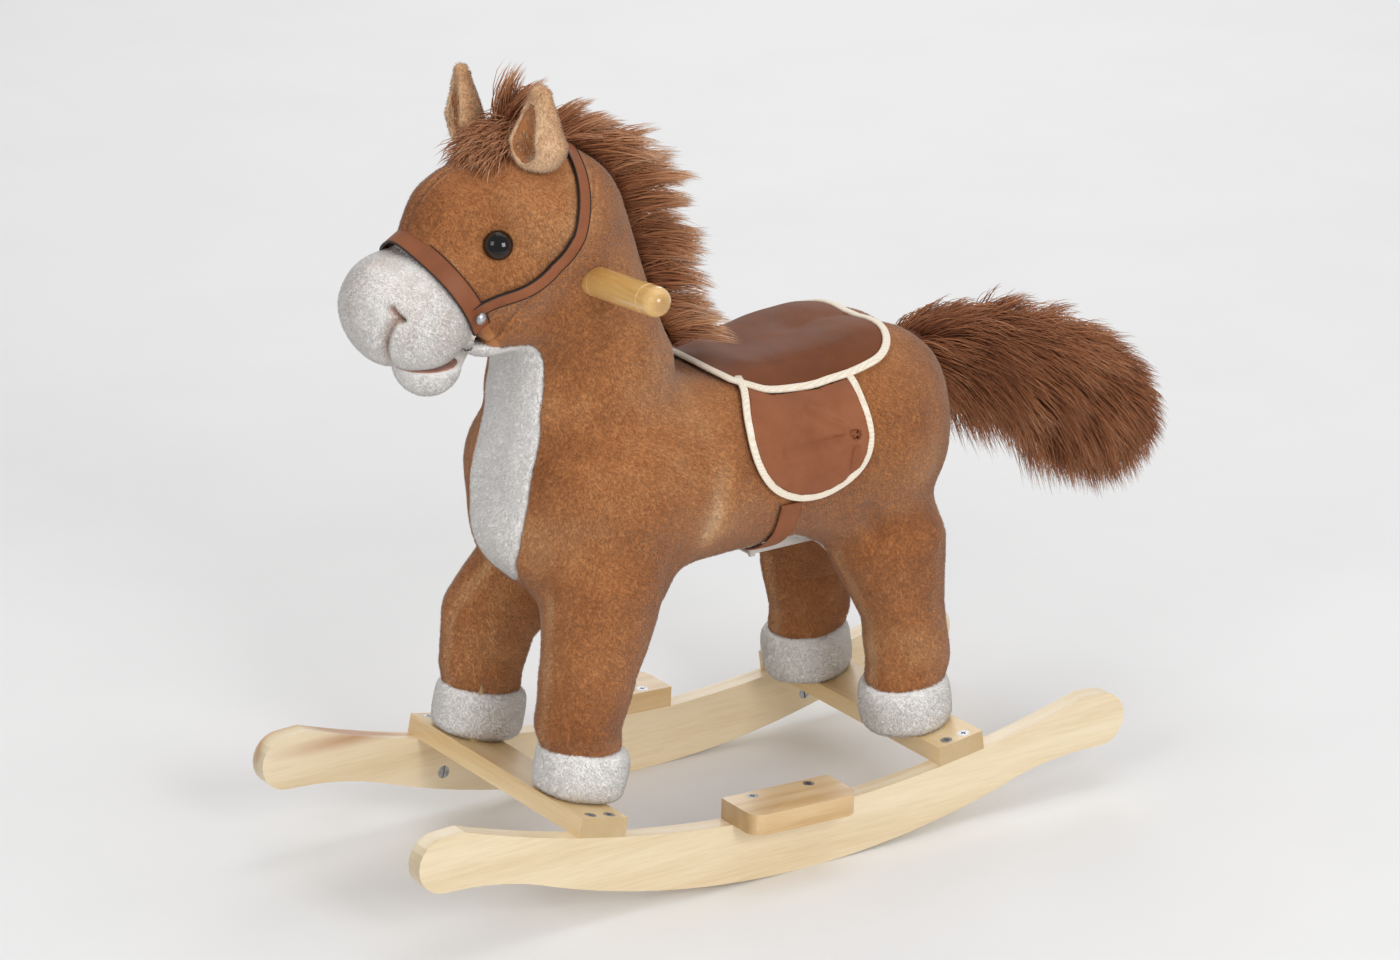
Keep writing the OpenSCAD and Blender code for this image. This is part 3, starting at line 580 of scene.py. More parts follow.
def metal_look():
    look = Look("zinc_steel")
    worn = look.noise(240, None, 4)
    look.base(look.ramp(worn, [(0.3, srgb(150, 152, 156)), (0.7, srgb(206, 208, 212))]))
    look.rough(look.grade(worn, 0.3, 0.7, 0.26, 0.42))
    look.raise_by(worn, 0.0001, 0.3)
    return look.set(Metallic=1.0).mat


def plastic_look(name, colour, rough):
    look = Look(name)
    fine = look.noise(1400, None, 2)
    look.base(look.mix(look.grade(fine, 0.3, 0.7), colour, tuple(c * 1.25 for c in colour)))
    look.rough(look.grade(fine, 0.3, 0.7, rough - 0.05, rough + 0.08))
    look.raise_by(fine, 0.0001, 0.4)
    return look.mat


def eye_look():
    """Black pupil with a dark brown iris ring, under a clear polished surface."""
    look = Look("glass_eye")
    fleck = look.grade(look.noise(900, None, 2), 0.3, 0.7, -0.03, 0.03)
    ring = look.math("ADD", look.tone(), fleck)
    black, iris = srgb(6, 5, 5), srgb(44, 24, 12)
    look.base(look.ramp(ring, [(0.0, black), (0.62, black), (0.72, iris), (0.9, iris), (0.97, black)]))
    return look.set(Roughness=0.05, Specular_IOR_Level=0.35).mat


PALE = [(0.15, srgb(224, 200, 160)), (0.5, srgb(238, 219, 184)), (0.9, srgb(247, 233, 206))]
DEAL = [(0.15, srgb(214, 178, 124)), (0.5, srgb(230, 201, 152)), (0.9, srgb(240, 217, 176))]
VARNISHED = [(0.15, srgb(190, 140, 74)), (0.5, srgb(214, 168, 100)), (0.9, srgb(230, 190, 124))]
HONEY = [(0.15, srgb(200, 160, 106)), (0.5, srgb(218, 184, 134)), (0.9, srgb(230, 202, 158))]
SAWN = [(0.15, srgb(190, 160, 118)), (0.5, srgb(212, 184, 140)), (0.9, srgb(226, 202, 162))]
HEART = srgb(186, 132, 88)

brown_skin = skin_look("brown_plush_backing", PILE_BROWN)
white_skin = skin_look("white_plush_backing", PILE_WHITE)
tan_skin = skin_look("tan_plush_backing", PILE_TAN)
# the last number is the painted shade at the base of each hair
brown_pile = strand_look("brown_pile", PILE_BROWN, 0.1)
white_pile = strand_look("white_pile", PILE_WHITE, 0.03)
tan_pile = strand_look("tan_pile", PILE_TAN, 0.08)
hair_look = strand_look("long_hair", HAIR, 0.34, sheen=0.04, gloss=0.5)
hair_core = skin_look("hair_backing", [(0.0, srgb(70, 38, 22)), (1.0, srgb(124, 76, 50))])
leather = leather_look("leatherette", 1.0, 0.3, 0.42)
# painted shade: the seat is the flaps' leatherette darkened to 0.66 of its colour
shaded_seat_leather = leather_look("leatherette_seat_shaded", 0.66, 0.16, 0.5)
strap_edge = plastic_look("strap_edge", srgb(34, 22, 18), 0.6)
binding = binding_look()
steel = metal_look()
dark_plastic = plastic_look("dark_plastic", srgb(42, 42, 44), 0.5)
pale_plastic = plastic_look("pale_plastic", srgb(196, 190, 184), 0.5)
cell_wrap = plastic_look("cell_wrap", srgb(178, 132, 52), 0.35)
mouth_felt = skin_look("mouth_felt", [(0.0, srgb(130, 80, 64)), (1.0, srgb(196, 146, 128))])

# ---------- shape of the plush horse ----------

PILE = 2.2  # how far the pile stands out from the skin
FORE_LEAN, HIND_LEAN = math.radians(11.9), math.radians(-7.9)
EYE_AT = (56.0, -201.0, 501.0)
HEAD_SEAM = ((0, -140, 505), (0, -0.817, 0.576))
NOSE_SEAM = ((0, -221.5, 460), (0, -0.853, -0.522))
CHEEK = [(0, -118, 566), (24, -119, 566), (46, -126, 560), (60, -134, 536), (72, -149, 492),
         (75, -163, 474), (74, -190, 455), (68, -214, 447)]
CUFF_HIGH = 38.0
PAD_THICK = 12.0
GIRTH_Y = 19.0
STRAP_THICK = 2.2
NOSEBAND_HALF, CHEEK_HALF, GIRTH_HALF = 7.4, 4.8, 9.0


def leg_line(front, side=1):
    """Foot on its crossbar and direction up the leg."""
    name = f"hoof_{'front' if front else 'rear'}_{'left' if side > 0 else 'right'}"
    lean = FORE_LEAN if front else HIND_LEAN
    up = np.array([0, math.sin(lean), math.cos(lean)])
    return node_centre(name) - CUFF_HIGH / 2 * up, up


def leg_stops(front, side):
    foot, up = leg_line(front, side)
    far_out = front and side < 0
    drift = np.array([0, -5.0 if far_out else -9.0 if front else 8.0, 0])
    top_r = 37 if front else 34
    at = [(24, 27.5, 0), (40, 31, 0.4), (56, 33, 1), (93, top_r, 0.9)]
    low = [(*(foot + h * up + part * drift), r) for h, r, part in at]
    if front:
        top = (-53, -97, 228, 41) if far_out else (58, -119, 230, 46)
    else:
        top = (side * 57, 134 if side > 0 else 140, 212, 46)
    return low + [top]


LEGS = [leg_stops(front, side) for front in (True, False) for side in (1, -1)]
LEG_SEAMS = [[(x, y - r, z) for x, y, z, r in stops] for stops in LEGS]


def seams_near(p, width):
    """Bell along the front seams of the legs."""
    return sum(bump(to_path(p, line), width) for line in LEG_SEAMS)


def torso(p):
    m = mirrored(p)
    trunk = cone(spread(p, 30), (0, -100, 296), (0, 62, 297), 69, 69)
    loin = cone(spread(p, 25), (0, 62, 297), (0, 118, 297), 68, 71)
    barrel = join(trunk, loin, 10)
    chest = cone(spread(p, 12), (0, -121, 270), (0, -114, 350), 60, 53)
    shoulder = ellipsoid(m, (34, -88, 293), (65, 66, 74))
    rump = ellipsoid(m, (33, 112, 292), (67, 78, 79))
    croup = ellipsoid(m, (20, 143, 309), (58, 57, 64))
    neck = cone(spread(p, 10), (0, -98, 380), (0, -126, 492), 61, 50)
    body = join(barrel, join(chest, shoulder, 14), 14)
    body = join(body, join(rump, croup, 12), 16)
    body = join(body, neck, 20)
    for stops in LEGS:
        body = join(body, chain(p, stops), 20)
    return body


def head(p):
    skull = cone(spread(p, 15), (0, -148, 500), (0, -164, 480), 58, 48)
    bridge = cone(spread(p, 12), (0, -164, 480), (0, -214, 465), 47, 37)
    brow = ellipsoid(p, (0, -188, 491), (43, 58, 56))
    throat = cone(spread(p, 12), (0, -150, 440), (0, -186, 436), 36, 32)
    shape = join(join(skull, bridge, 8), brow, 10)
    shape = join(shape, throat, 10)
    socket = np.linalg.norm(mirrored(p) - EYE_AT, axis=1)
    return shape + 2.5 * bump(socket, 16)


def muzzle(p):
    top = ellipsoid(p, (0, -245, 445), (51, 48, 43), 35)
    back = cone(spread(p, 9), (0, -224, 454), (0, -236, 450), 37, 38)
    return join(top, back, 8)


def animal(p):
    """Everything sewn together, before it is cut into panels."""
    body = join(torso(p), head(p), 16)
    return join(body, muzzle(p), 5)


SHOULDER = [(92, -48, 392), (100, -40, 360), (101, -38, 325), (98, -44, 290), (92, -50, 268)]


def folds(p):
    """Depth of seams and creases in the plush."""
    m = mirrored(p)
    depth = 1.4 * bump(m[:, 0], 2.2) * (p[:, 2] > 330) * (seat_area(p) > 4) * (bib_area(p) > 4)
    depth = depth + 1.6 * seams_near(p, 2.4)
    brow_fold = to_path(m, [(30, -240, 488), (44, -229, 490), (54, -216, 500)])
    depth = depth + 2.2 * bump(brow_fold, 4)
    shoulder_fold = to_path(m, SHOULDER)
    depth = depth + 2.6 * bump(shoulder_fold, 7) - 1.6 * bump(shoulder_fold, 22)
    flank = to_path(m, [(84, 92, 262), (82, 108, 236), (66, 112, 214)])
    depth = depth + 4.0 * bump(flank, 8)
    armpit = to_path(m, [(92, -76, 250), (88, -84, 226), (78, -84, 204)])
    depth = depth + 2.0 * bump(armpit, 9)
    soft = (noise(p, 38, 3) - 0.5) * 3.2 + (noise(p, 17, 5) - 0.5) * 1.3
    return depth + soft


def skin(p):
    under_flap = np.clip(-flap_area(p) / 8 - 0.4, 0, 1) * (np.abs(p[:, 0]) > 50)
    return animal(p) + PILE + folds(p) + 2.6 * under_flap


def coat_tone(p):
    """Tone of the brown plush, from 0 dark to 1 light, with painted shade on the front of the face and low
    between the legs.
    """
    m = mirrored(p)
    patches_and_face_shade = 0.52 + (noise(p, 46, 11) - 0.5) * 0.3 + (noise(p, 15, 12) - 0.5) * 0.13
    patches_and_face_shade += (noise(p * (1, 1, 0.5), 6, 13) - 0.5) * 0.06
    # painted shade: the front of the head, ahead of y = -168 and above z = 430, is darkened by 0.13 tone
    # where fully applied
    patches_and_face_shade -= 0.13 * np.clip((-168 - p[:, 1]) / 40, 0, 1) * (p[:, 2] > 430)
    light = 0.26 * seams_near(p, 6)
    fold = to_path(m, [(92, -48, 392), (101, -38, 325), (92, -50, 268)])
    light = light + 0.22 * bump(fold, 9)
    light = light + 0.22 * bump(to_path(m, CHEEK), 13)
    light = light + 0.2 * bump(to_path(m, [(30, -238, 486), (44, -228, 486), (52, -214, 497)]), 9)
    light = light + 0.18 * bump(np.linalg.norm(m - (66, -124.5, 462), axis=1), 22)
    # painted shade: darker low down near the middle plane, on the inner sides of the legs under the belly
    low_inner_shade = np.clip((40 - m[:, 0]) / 30, 0, 1) * np.clip((250 - p[:, 2]) / 60, 0, 1)
    return patches_and_face_shade + light - 0.1 * low_inner_shade


def white_tone(p):
    return 0.62 + (noise(p, 26, 21) - 0.5) * 0.24 + (noise(p, 7, 22) - 0.5) * 0.14


BIB = [(-33, 420), (33, 420), (37, 330), (37, 296), (31, 262), (18, 236), (0, 224), (-18, 236), (-31, 262),
       (-37, 296), (-37, 330)]


def bib_area(p):
    return np.maximum(outline(p[:, 0], p[:, 2], BIB), p[:, 1] + 120)


BELLY = [(-38, -70), (38, -70), (62, -6), (64, 44), (44, 72), (40, 94), (-40, 94), (-44, 72), (-64, 44),
         (-62, -6)]


def belly_area(p):
    return np.maximum(outline(p[:, 0], p[:, 1], BELLY), p[:, 2] - 245)


def head_side(p):
    return plane(p, *HEAD_SEAM)


def nose_side(p):
    return plane(p, *NOSE_SEAM)


def body_skin(p):
    shape = both(skin(p), head_side(p), 2)
    shape = both(shape, -bib_area(p), 4)
    return both(shape, -belly_area(p), 4)


def pad(p, area):
    """A panel set into the skin."""
    d = skin(p)
    return both(both(d, area, 4), -(d + PAD_THICK), 2)


def head_skin(p):
    d = skin(p)
    return both(both(d, -head_side(p), 2), nose_side(p), 4)


LIP_Z = 408.0
LIP_GAP = 3.2
MUZZLE_FRONT = -246.0
NOSTRIL = [(31, 0, 461), (37, 0, 453)]
MOUTH_LINE = [(33, 0, 452), (27, 0, 438), (20, 0, 424), (12, 0, 408)]


def nose_mark(p, line, width):
    """Bell along a line drawn on the front of the muzzle."""
    return bump(to_path(mirrored(p) * (1, 0, 1), line), width) * (p[:, 1] < MUZZLE_FRONT)


def muzzle_skin(p):
    d = animal(p) + PILE + (noise(p, 24, 31) - 0.5) * 1.8
    d = d + 4.8 * nose_mark(p, MOUTH_LINE, 4.2) + 3.6 * nose_mark(p, NOSTRIL, 2.8)
    d = both(d, -nose_side(p), 4)
    return both(d, LIP_Z - p[:, 2], 7)


def cuff_skin(front, side):
    foot, up = leg_line(front, side)

    def field(p):
        q = p - foot
        h = q @ up
        across = np.linalg.norm(q - h[:, None] * up, axis=1)
        barrel = across - (32.4 + 1.6 * np.sin(np.clip(h / CUFF_HIGH, 0, 1) * math.pi))
        return both(barrel, np.abs(h - CUFF_HIGH / 2) - CUFF_HIGH / 2, 9) + (noise(p, 16, 41) - 0.5) * 1.4

    return field


# ---------- plush panels ----------


def plush(name, field, box, step, looks, tone, replaced, look, keep=None,
          seed=1, body="horse"):
    """A stuffed panel with its backing and its pile, riding on a body."""
    skin_mat, pile_mat = looks
    verts, faces = surface(field, *box, step)
    piece = mesh_piece(name, verts, faces, skin_mat, tone=tone(verts))
    pieces = [piece] + fur(name + "_pile", field, verts, faces, look, pile_mat, tone, keep, seed)
    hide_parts(*replaced)
    for part in pieces:
        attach(part, body)


def muzzle_tone(p):
    """White greyed all over as painted shade, with a brownish slit at each nostril and a faint line of
    painted shade along the crease down to the lip.
    """
    # painted shade: the whole muzzle is lowered 0.26 in tone, and the crease down to the lip by up to 0.3
    # more
    return white_tone(p) - 0.26 - 0.4 * nose_mark(p, NOSTRIL, 2.0) - 0.3 * nose_mark(p, MOUTH_LINE, 2.6)


BROWN, WHITE, TAN = (brown_skin, brown_pile), (white_skin, white_pile), (tan_skin, tan_pile)
# area of skin per hair, length and radius
SHORT = (0.7, 2.9, 0.3)
WHITE_SHORT = (0.55, 2.6, 0.36)
EAR_PILE = (1.1, 3.2, 0.36)

SEAT_SIDE = [(46, -10), (62, 6), (70, 20), (73, 52), (73, 92)] + [
    (34 + 39 * math.cos(math.radians(a)), 98 + 40 * math.sin(math.radians(a))) for a in range(0, 91, 15)
]
SEAT = [(-46, -10)] + SEAT_SIDE + [(-x, y) for x, y in SEAT_SIDE[:0:-1]]
FLAP = [(84, 366), (4, 366), (-9, 348), (-13, 332)] + [
    (37 + 50 * math.cos(math.radians(a)), 326 + 45 * math.sin(math.radians(a))) for a in range(190, 351, 16)
] + [(87, 332)]


def seat_area(p):
    return np.maximum(outline(p[:, 0], p[:, 1], SEAT), 320 - p[:, 2])


def flap_area(p):
    return outline(p[:, 1], p[:, 2], FLAP)


def clear_of_saddle(p):
    under_flap = (flap_area(p) < -2) & (np.abs(p[:, 0]) > 44)
    girth = (np.abs(p[:, 1] - GIRTH_Y) < GIRTH_HALF - 1) & (p[:, 2] < 300)
    strap = to_path(mirrored(p), CHEEK) < 5
    band = np.abs(nose_side(p)) < 6
    return ~((seat_area(p) < -1) | under_flap | girth | strap | (band & (p[:, 2] > 400)))


body_box = ((-118, -206, 84), (118, 206, 560))
legs = [f"leg_{end}_{hand}" for end in ("front", "rear") for hand in ("left", "right")]
plush("body_plush", body_skin, body_box, 2.9, BROWN, coat_tone, ["plush_body"] + legs, SHORT, clear_of_saddle,
      seed=10)
plush("head_plush", head_skin, ((-84, -262, 418), (84, -84, 566)), 2.6, BROWN, coat_tone, ["plush_head"],
      SHORT, clear_of_saddle, seed=20)
plush("muzzle_plush", muzzle_skin, ((-62, -306, 396), (62, -206, 506)), 2.0, WHITE, muzzle_tone, ["muzzle"],
      WHITE_SHORT, clear_of_saddle, seed=30)
plush("chest_bib_plush", lambda p: pad(p, bib_area(p)), ((-48, -206, 214), (48, -110, 424)), 2.2, WHITE,
      white_tone, ["chest_bib"], WHITE_SHORT, seed=40)
plush("belly_panel_plush", lambda p: pad(p, belly_area(p)), ((-72, -80, 200), (72, 104, 250)), 2.4, WHITE,
      white_tone, ["belly_panel"], WHITE_SHORT, clear_of_saddle, seed=50)
for front, (side, hand) in itertools.product((True, False), ((1, "left"), (-1, "right"))):
    label = f"hoof_{'front' if front else 'rear'}_{hand}"
    foot, up = leg_line(front, side)
    middle = foot + CUFF_HIGH / 2 * up
    plush(label + "_cuff", cuff_skin(front, side), (middle - (40, 40, 30), middle + (40, 40, 30)), 2.2, WHITE,
          white_tone, [label], WHITE_SHORT, seed=60 + 5 * side + 20 * front)

# ---------- lower jaw ----------


def jaw_skin(p):
    d = ellipsoid(p, (0, -228, 405), (26, 25, 25), 20) + PILE * 0.6
    return both(d, p[:, 2] - (LIP_Z - LIP_GAP), 4)


plush("lower_jaw_plush", jaw_skin, ((-36, -262, 370), (36, -190, 410)), 1.8, WHITE, white_tone, ["lower_jaw"],
      WHITE_SHORT, lambda p: p[:, 2] < LIP_Z - 5, seed=90, body="jaw")


def mouth_lining(p):
    d = ellipsoid(p, (0, -229, 405), (23.5, 23, 12), 10)
    return both(d, np.abs(p[:, 2] - (LIP_Z - 3.6)) - 1.0, 1)


lining = field_piece("mouth_lining", mouth_lining, ((-30, -258, 400), (30, -198, 410)), 1.5, mouth_felt,
                     lambda p: noise(p, 9, 51))
dress(lining, body="jaw")

# ---------- ears ----------

EAR_AT = np.array([46.0, -162.0, 572.0])
FAR_EAR = np.array([-3.0, 3.0, 4.0])  # the far ear's shift from the near one's mirror image
FAR_LEAN = 0.16
EAR_OUT = unit([0.47, -0.88, 0.05])
EAR_UP = unit([-0.03, 0.05, 1.0])
EAR_ACROSS = np.cross(EAR_UP, EAR_OUT)


def ear_frame(p, side):
    q = p * (side, 1, 1) - EAR_AT + FAR_EAR * (side < 0)
    up = q @ EAR_UP
    return np.stack([q @ EAR_ACROSS, q @ EAR_OUT - FAR_LEAN * (side < 0) * up, up], 1)


def ear_outer(q):
    flat = q * (1, 1.5, 1)
    return cone(flat, (0, 0, -6), (0, -3, 26), 23, 9.5) / 1.15


def ear_hollow(q):
    flat = q * (1, 1.15, 1)
    return cone(flat, (-7.5, 12, -8), (-5.5, 9, 23), 12.5, 5.5)


def ear_skin(side):
    def field(p):
        q = ear_frame(p, side)
        shape = both(ear_outer(q) + 1.2, -ear_hollow(q), 5)
        return both(shape, -26 - q[:, 2], 3) + (noise(p, 14, 61) - 0.5) * 1.2

    return field


def shaded_ear_lining(side):
    def field(p):
        q = ear_frame(p, side)
        return both(both(np.abs(ear_hollow(q) - 0.2) - 1.0, ear_outer(q) + 3.2, 1), q[:, 1] - 8, 1)

    return field


def rim_tone(side):
    def tone(p):
        q = ear_frame(p, side)
        return coat_tone(p) * 0.4 + 0.34 + 0.3 * np.clip((q[:, 1] + 4) / 10, 0, 1)

    return tone


for side, hand in ((1, "left"), (-1, "right")):
    middle = EAR_AT * (side, 1, 1)
    box = (middle - (34, 34, 34), middle + (34, 34, 48))
    plush(f"ear_{hand}_plush", ear_skin(side), box, 1.8, TAN, rim_tone(side), [f"ear_{hand}"], EAR_PILE,
          seed=100 + 10 * side)
    # painted shade: the hollow of each ear is lined with brown backing held at a dark tone, for the shade
    # inside the cupped ear
    shaded_liner = field_piece(f"ear_{hand}_lining", shaded_ear_lining(side), box, 1.6, brown_skin,
                        lambda p: 0.34 + (noise(p, 8, 62) - 0.5) * 0.3)
    dress(shaded_liner)

# ---------- eyes ----------

EYE_R = 10.6


def eye_piece(side, hand):
    """A polished dome in a low rim, turned out of the face."""
    centre = settle(head_skin, np.array([EYE_AT]) * (side, 1, 1))[0]
    out = slope(head_skin, centre[None], 6.0)[0]
    right = unit(np.cross(out, (0, 0, 1)))
    up = np.cross(right, out)
    profile = [(EYE_R * 0.9, -4.0, 1.0), (EYE_R, -3.0, 1.0), (EYE_R, 1.0, 1.0), (EYE_R * 0.985, 1.6, 0.96)]
    arc = [(math.cos(math.radians(a)), math.sin(math.radians(a))) for a in range(0, 86, 7)]
    profile += [(EYE_R * 0.97 * c, 1.8 + 5.6 * s, c * 0.94) for c, s in arc]
    around = 48
    turn = np.arange(around) * 2 * math.pi / around
    ring = np.cos(turn)[:, None] * right + np.sin(turn)[:, None] * up
    verts = [centre + r * ring + h * out for r, h, _ in profile]
    tones = [np.full(around, t) for _, _, t in profile]
    verts = np.concatenate(verts + [(centre + 7.4 * out)[None], (centre - 4 * out)[None]])
    tones = np.concatenate(tones + [[0.0, 1.0]])
    faces = []
    for k in range(len(profile) - 1):
        for i in range(around):
            j = (i + 1) % around
            a = k * around
            faces.append((a + i, a + j, a + around + j, a + around + i))
    last = (len(profile) - 1) * around
    top, under = len(profile) * around, len(profile) * around + 1
    for i in range(0, around, 2):
        j, k = i + 1, (i + 2) % around
        faces.append((last + i, last + j, last + k, top))
        faces.append((k, j, i, under))
    return dress(mesh_piece(f"eye_{hand}", verts, faces, eye_mat, tone=tones),
                 ["eyes"] if side > 0 else ())


eye_mat = eye_look()
eye_piece(1, "left")
eye_piece(-1, "right")

# ---------- bridle and saddle ----------


def over(p):
    """Height above the pressed-down pile."""
    return animal(p) + folds(p)


def cover_piece(name, field, box, material, replaced=(), step=1.4):
    return dress(field_piece(name, field, box, step, material), replaced)


def swept(name, path, out, half, thick, material, replaced=(), closed=False, shift=0.0):
    """A flat strap, half each side of the path and thick deep, lying square to out."""
    ends = (np.roll(path, -1, 0) - np.roll(path, 1, 0)) if closed else np.gradient(path, axis=0)
    ahead = unit(ends)
    side = unit(np.cross(ahead, out))
    out = np.cross(side, ahead)
    around = 14
    turn = np.arange(around) * 2 * math.pi / around
    u, v = np.cos(turn), np.sin(turn)
    u, v = np.sign(u) * np.abs(u) ** 0.45 * half, np.sign(v) * np.abs(v) ** 0.7 * thick / 2
    rings = path[:, None] + (u + shift)[:, None] * side[:, None] + v[:, None] * out[:, None]
    count = len(path)
    verts = rings.reshape(-1, 3)
    faces = []
    for k in range(count if closed else count - 1):
        for i in range(around):
            j, up = (i + 1) % around, (k + 1) % count
            faces.append((k * around + i, k * around + j, up * around + j, up * around + i))
    if not closed:
        verts = np.concatenate([verts, path[:1], path[-1:]])
        last = (count - 1) * around
        for i in range(0, around, 2):
            j, k = i + 1, (i + 2) % around
            faces.append((k, j, i, len(verts) - 2))
            faces.append((last + i, last + j, last + k, len(verts) - 1))
    dress(mesh_piece(name, verts, faces, material), replaced)


def edged(name, path, out, half, replaced=()):
    """A leatherette strap with a thin dark edge along both sides."""
    swept(name, path, out, half, STRAP_THICK, leather, replaced)
    for tag, shift in (("a", -half), ("b", half)):
        swept(f"{name}_edge_{tag}", path, out, 0.45, 2.3, strap_edge, shift=shift)


def rounded_path(stops, closed=False, rounds=3):
    """Cuts the corners off a line of stops until it is smooth."""
    pts = np.asarray(stops, float)
    for _ in range(rounds):
        nxt = np.roll(pts, -1, 0) if closed else pts[1:]
        here = pts if closed else pts[:-1]
        cut = np.stack([0.75 * here + 0.25 * nxt, 0.25 * here + 0.75 * nxt], 1).reshape(-1, pts.shape[1])
        pts = cut if closed else np.concatenate([pts[:1], cut, pts[-1:]])
    return pts


def reached(field, start, along_ray, far, level):
    """Where rays from start leave the solid field < level."""
    near, far = np.zeros(len(start)), np.full(len(start), float(far))
    for _ in range(22):
        mid = (near + far) / 2
        inside = field(start + mid[:, None] * along_ray) < level
        near, far = np.where(inside, mid, near), np.where(inside, far, mid)
    return start + near[:, None] * along_ray


# noseband: round the head in the seam's plane, open under the jaw
nose_centre = np.array(NOSE_SEAM[0], float)
nose_up = np.cross((1, 0, 0), NOSE_SEAM[1])
nose_up = nose_up * np.sign(nose_up[2])
turn = np.radians(np.linspace(-33, 213, 120))[:, None]
rays = np.cos(turn) * (1, 0, 0) + np.sin(turn) * nose_up
starts = np.tile(nose_centre, (len(rays), 1))
nose_path = reached(animal, starts, rays, 90, 0.9)
edged("noseband_strap", nose_path, rays, NOSEBAND_HALF, ["noseband"])
for side, hand in ((1, "left"), (-1, "right")):
    cheek_path = settle(animal, rounded_path(CHEEK) * (side, 1, 1), 1.0, 14)
    edged(f"cheek_strap_{hand}", cheek_path, slope(animal, cheek_path, 3.0), CHEEK_HALF,
          ["cheek_strap"] if side > 0 else ())
turn = np.radians(np.linspace(-12, -168, 90))[:, None]
rays = np.cos(turn) * (1, 0, 0) + np.sin(turn) * (0, 0, 1)
girth_path = reached(over, np.tile([0.0, GIRTH_Y, 299.0], (len(rays), 1)), rays, 140, 0.8)
swept("girth_band", girth_path, rays, GIRTH_HALF, STRAP_THICK, leather, ["girth_strap"])


def creases(p):
    """Depth of the flaps' creases, which have raised sides and meet near the back edge."""
    q = p[:, 1:]
    knot = np.array([74.0, 322.0])
    out = np.zeros(len(p))
    for end, depth, width in (((14, 318), 2.4, 2.8), ((40, 344), 2.0, 2.4), ((64, 288), 2.2, 2.6)):
        line = np.array(end, float) - knot
        t = np.clip((q - knot) @ line / (line @ line), 0, 1)
        gap = np.linalg.norm(q - knot - t[:, None] * line, axis=1)
        out = out + depth * (bump(gap, width) - 0.7 * bump(gap - 2.2 * width, width)) * (1 - 0.6 * t)
    return np.clip(out, -1.2, 2.0)


def seat_height(p):
    padding = 2.2 + 2.6 * np.clip(-seat_area(p) / 26, 0, 1) ** 0.7
    dent = 1.2 * bump(to_path(mirrored(p), [(26, 2, 392), (40, 34, 384), (60, 60, 372)]), 7)
    return padding - dent + (noise(p, 30, 71) - 0.5) * 0.8


def seat_skin(p):
    d = over(p)
    return both(both(d - seat_height(p), -d - 1, 1), seat_area(p) + 2.5, 1.5)


def flap_skin(side):
    def field(p):
        under_seat = np.clip((14 - seat_area(p)) / 12, 0, 1)
        d = over(p) - 2.8 + 2.1 * under_seat + creases(p) * (1 - under_seat)
        shape = both(np.abs(d) - 1.6, flap_area(p) + 2.5, 1)
        shape = both(shape, 40 - side * p[:, 0], 1)
        return np.maximum(shape, -seat_area(p) + 1.5)

    return field


saddle_box = ((-80, -18, 330), (80, 146, 404))
seat = cover_piece("saddle_seat_cover", seat_skin, saddle_box, shaded_seat_leather,
                   ["saddle_seat"], 2.0)
for side, hand in ((1, "left"), (-1, "right")):
    x0, x1 = sorted((side * 56, side * 116))
    flap_box = ((x0, -22, 274), (x1, 96, 378))
    flap = cover_piece(f"saddle_flap_{hand}_cover", flap_skin(side), flap_box, leather,
                       [f"saddle_flap_{hand}"], 1.5)
    rim = rounded_path(FLAP[1:] + FLAP[:1], rounds=2)
    starts = np.stack([np.full(len(rim), side * 30.0), rim[:, 0], rim[:, 1]], 1)
    rim_path = reached(over, starts, np.tile([float(side), 0, 0], (len(rim), 1)), 110, 2.6)
    rim_path = rim_path[seat_area(rim_path) > -7]
    swept(f"saddle_flap_{hand}_binding", rim_path, slope(animal, rim_path, 3.0), 2.9, 2.4, binding)
rim = rounded_path(SEAT, closed=True, rounds=2)
starts = np.stack([rim[:, 0], rim[:, 1], np.full(len(rim), 310.0)], 1)
rim_path = reached(over, starts, np.tile([0.0, 0, 1.0], (len(rim), 1)), 110, 3.0)
swept("saddle_seat_binding", rim_path, slope(animal, rim_path, 3.0), 3.0, 2.8, binding,
      ["saddle_piping"], closed=True)


def rivet(side, hand):
    """Low domed rivet head on the strap's end."""
    at = settle(lambda p: animal(p) - 2.2, np.array([CHEEK[-1]]) * (side, 1, 1))[0]
    out = slope(animal, at[None], 3.0)[0]

    def field(p):
        q = p - at
        h = q @ out
        across = np.linalg.norm(q - h[:, None] * out, axis=1)
        return np.maximum(np.hypot(across, (h + 3.2)) - 5.2, -h - 1.0)

    cover_piece(f"bridle_rivet_{hand}", field, (at - 7, at + 7), steel,
                ["bridle_rivets"] if side > 0 else (), step=0.7)


rivet(1, "left")
rivet(-1, "right")

# ---------- mane, forelock and tail ----------


def grow(roots, first, last, length, points, wave, rng):
    """Hair paths that start along first and turn towards last, with a little waviness."""
    count = len(roots)
    step = (length / (points - 1))[:, None]
    path = [roots]
    phase = rng.uniform(0, 6.28, (count, 3))
    for k in range(points - 1):
        t = (k + 0.5) / (points - 1)
        sway = wave * np.sin(phase + 5.0 * t)
        path.append(path[-1] + step * unit(first * (1 - t) + last * t + sway))
    return np.stack(path, 1)


def clumped(rng, count, locks):
    """Index of the lock that each hair belongs to."""
    return rng.integers(0, locks, count)


def drawn_in(paths, lock, locks, pull):
    """Gathers the tips of each lock towards its middle."""
    middle = np.zeros((locks,) + paths.shape[1:])
    np.add.at(middle, lock, paths)
    middle /= np.maximum(np.bincount(lock, minlength=locks), 1)[:, None, None]
    share = pull * np.linspace(0, 1, paths.shape[1]) ** 1.4
    return paths + share[None, :, None] * (middle[lock] - paths)


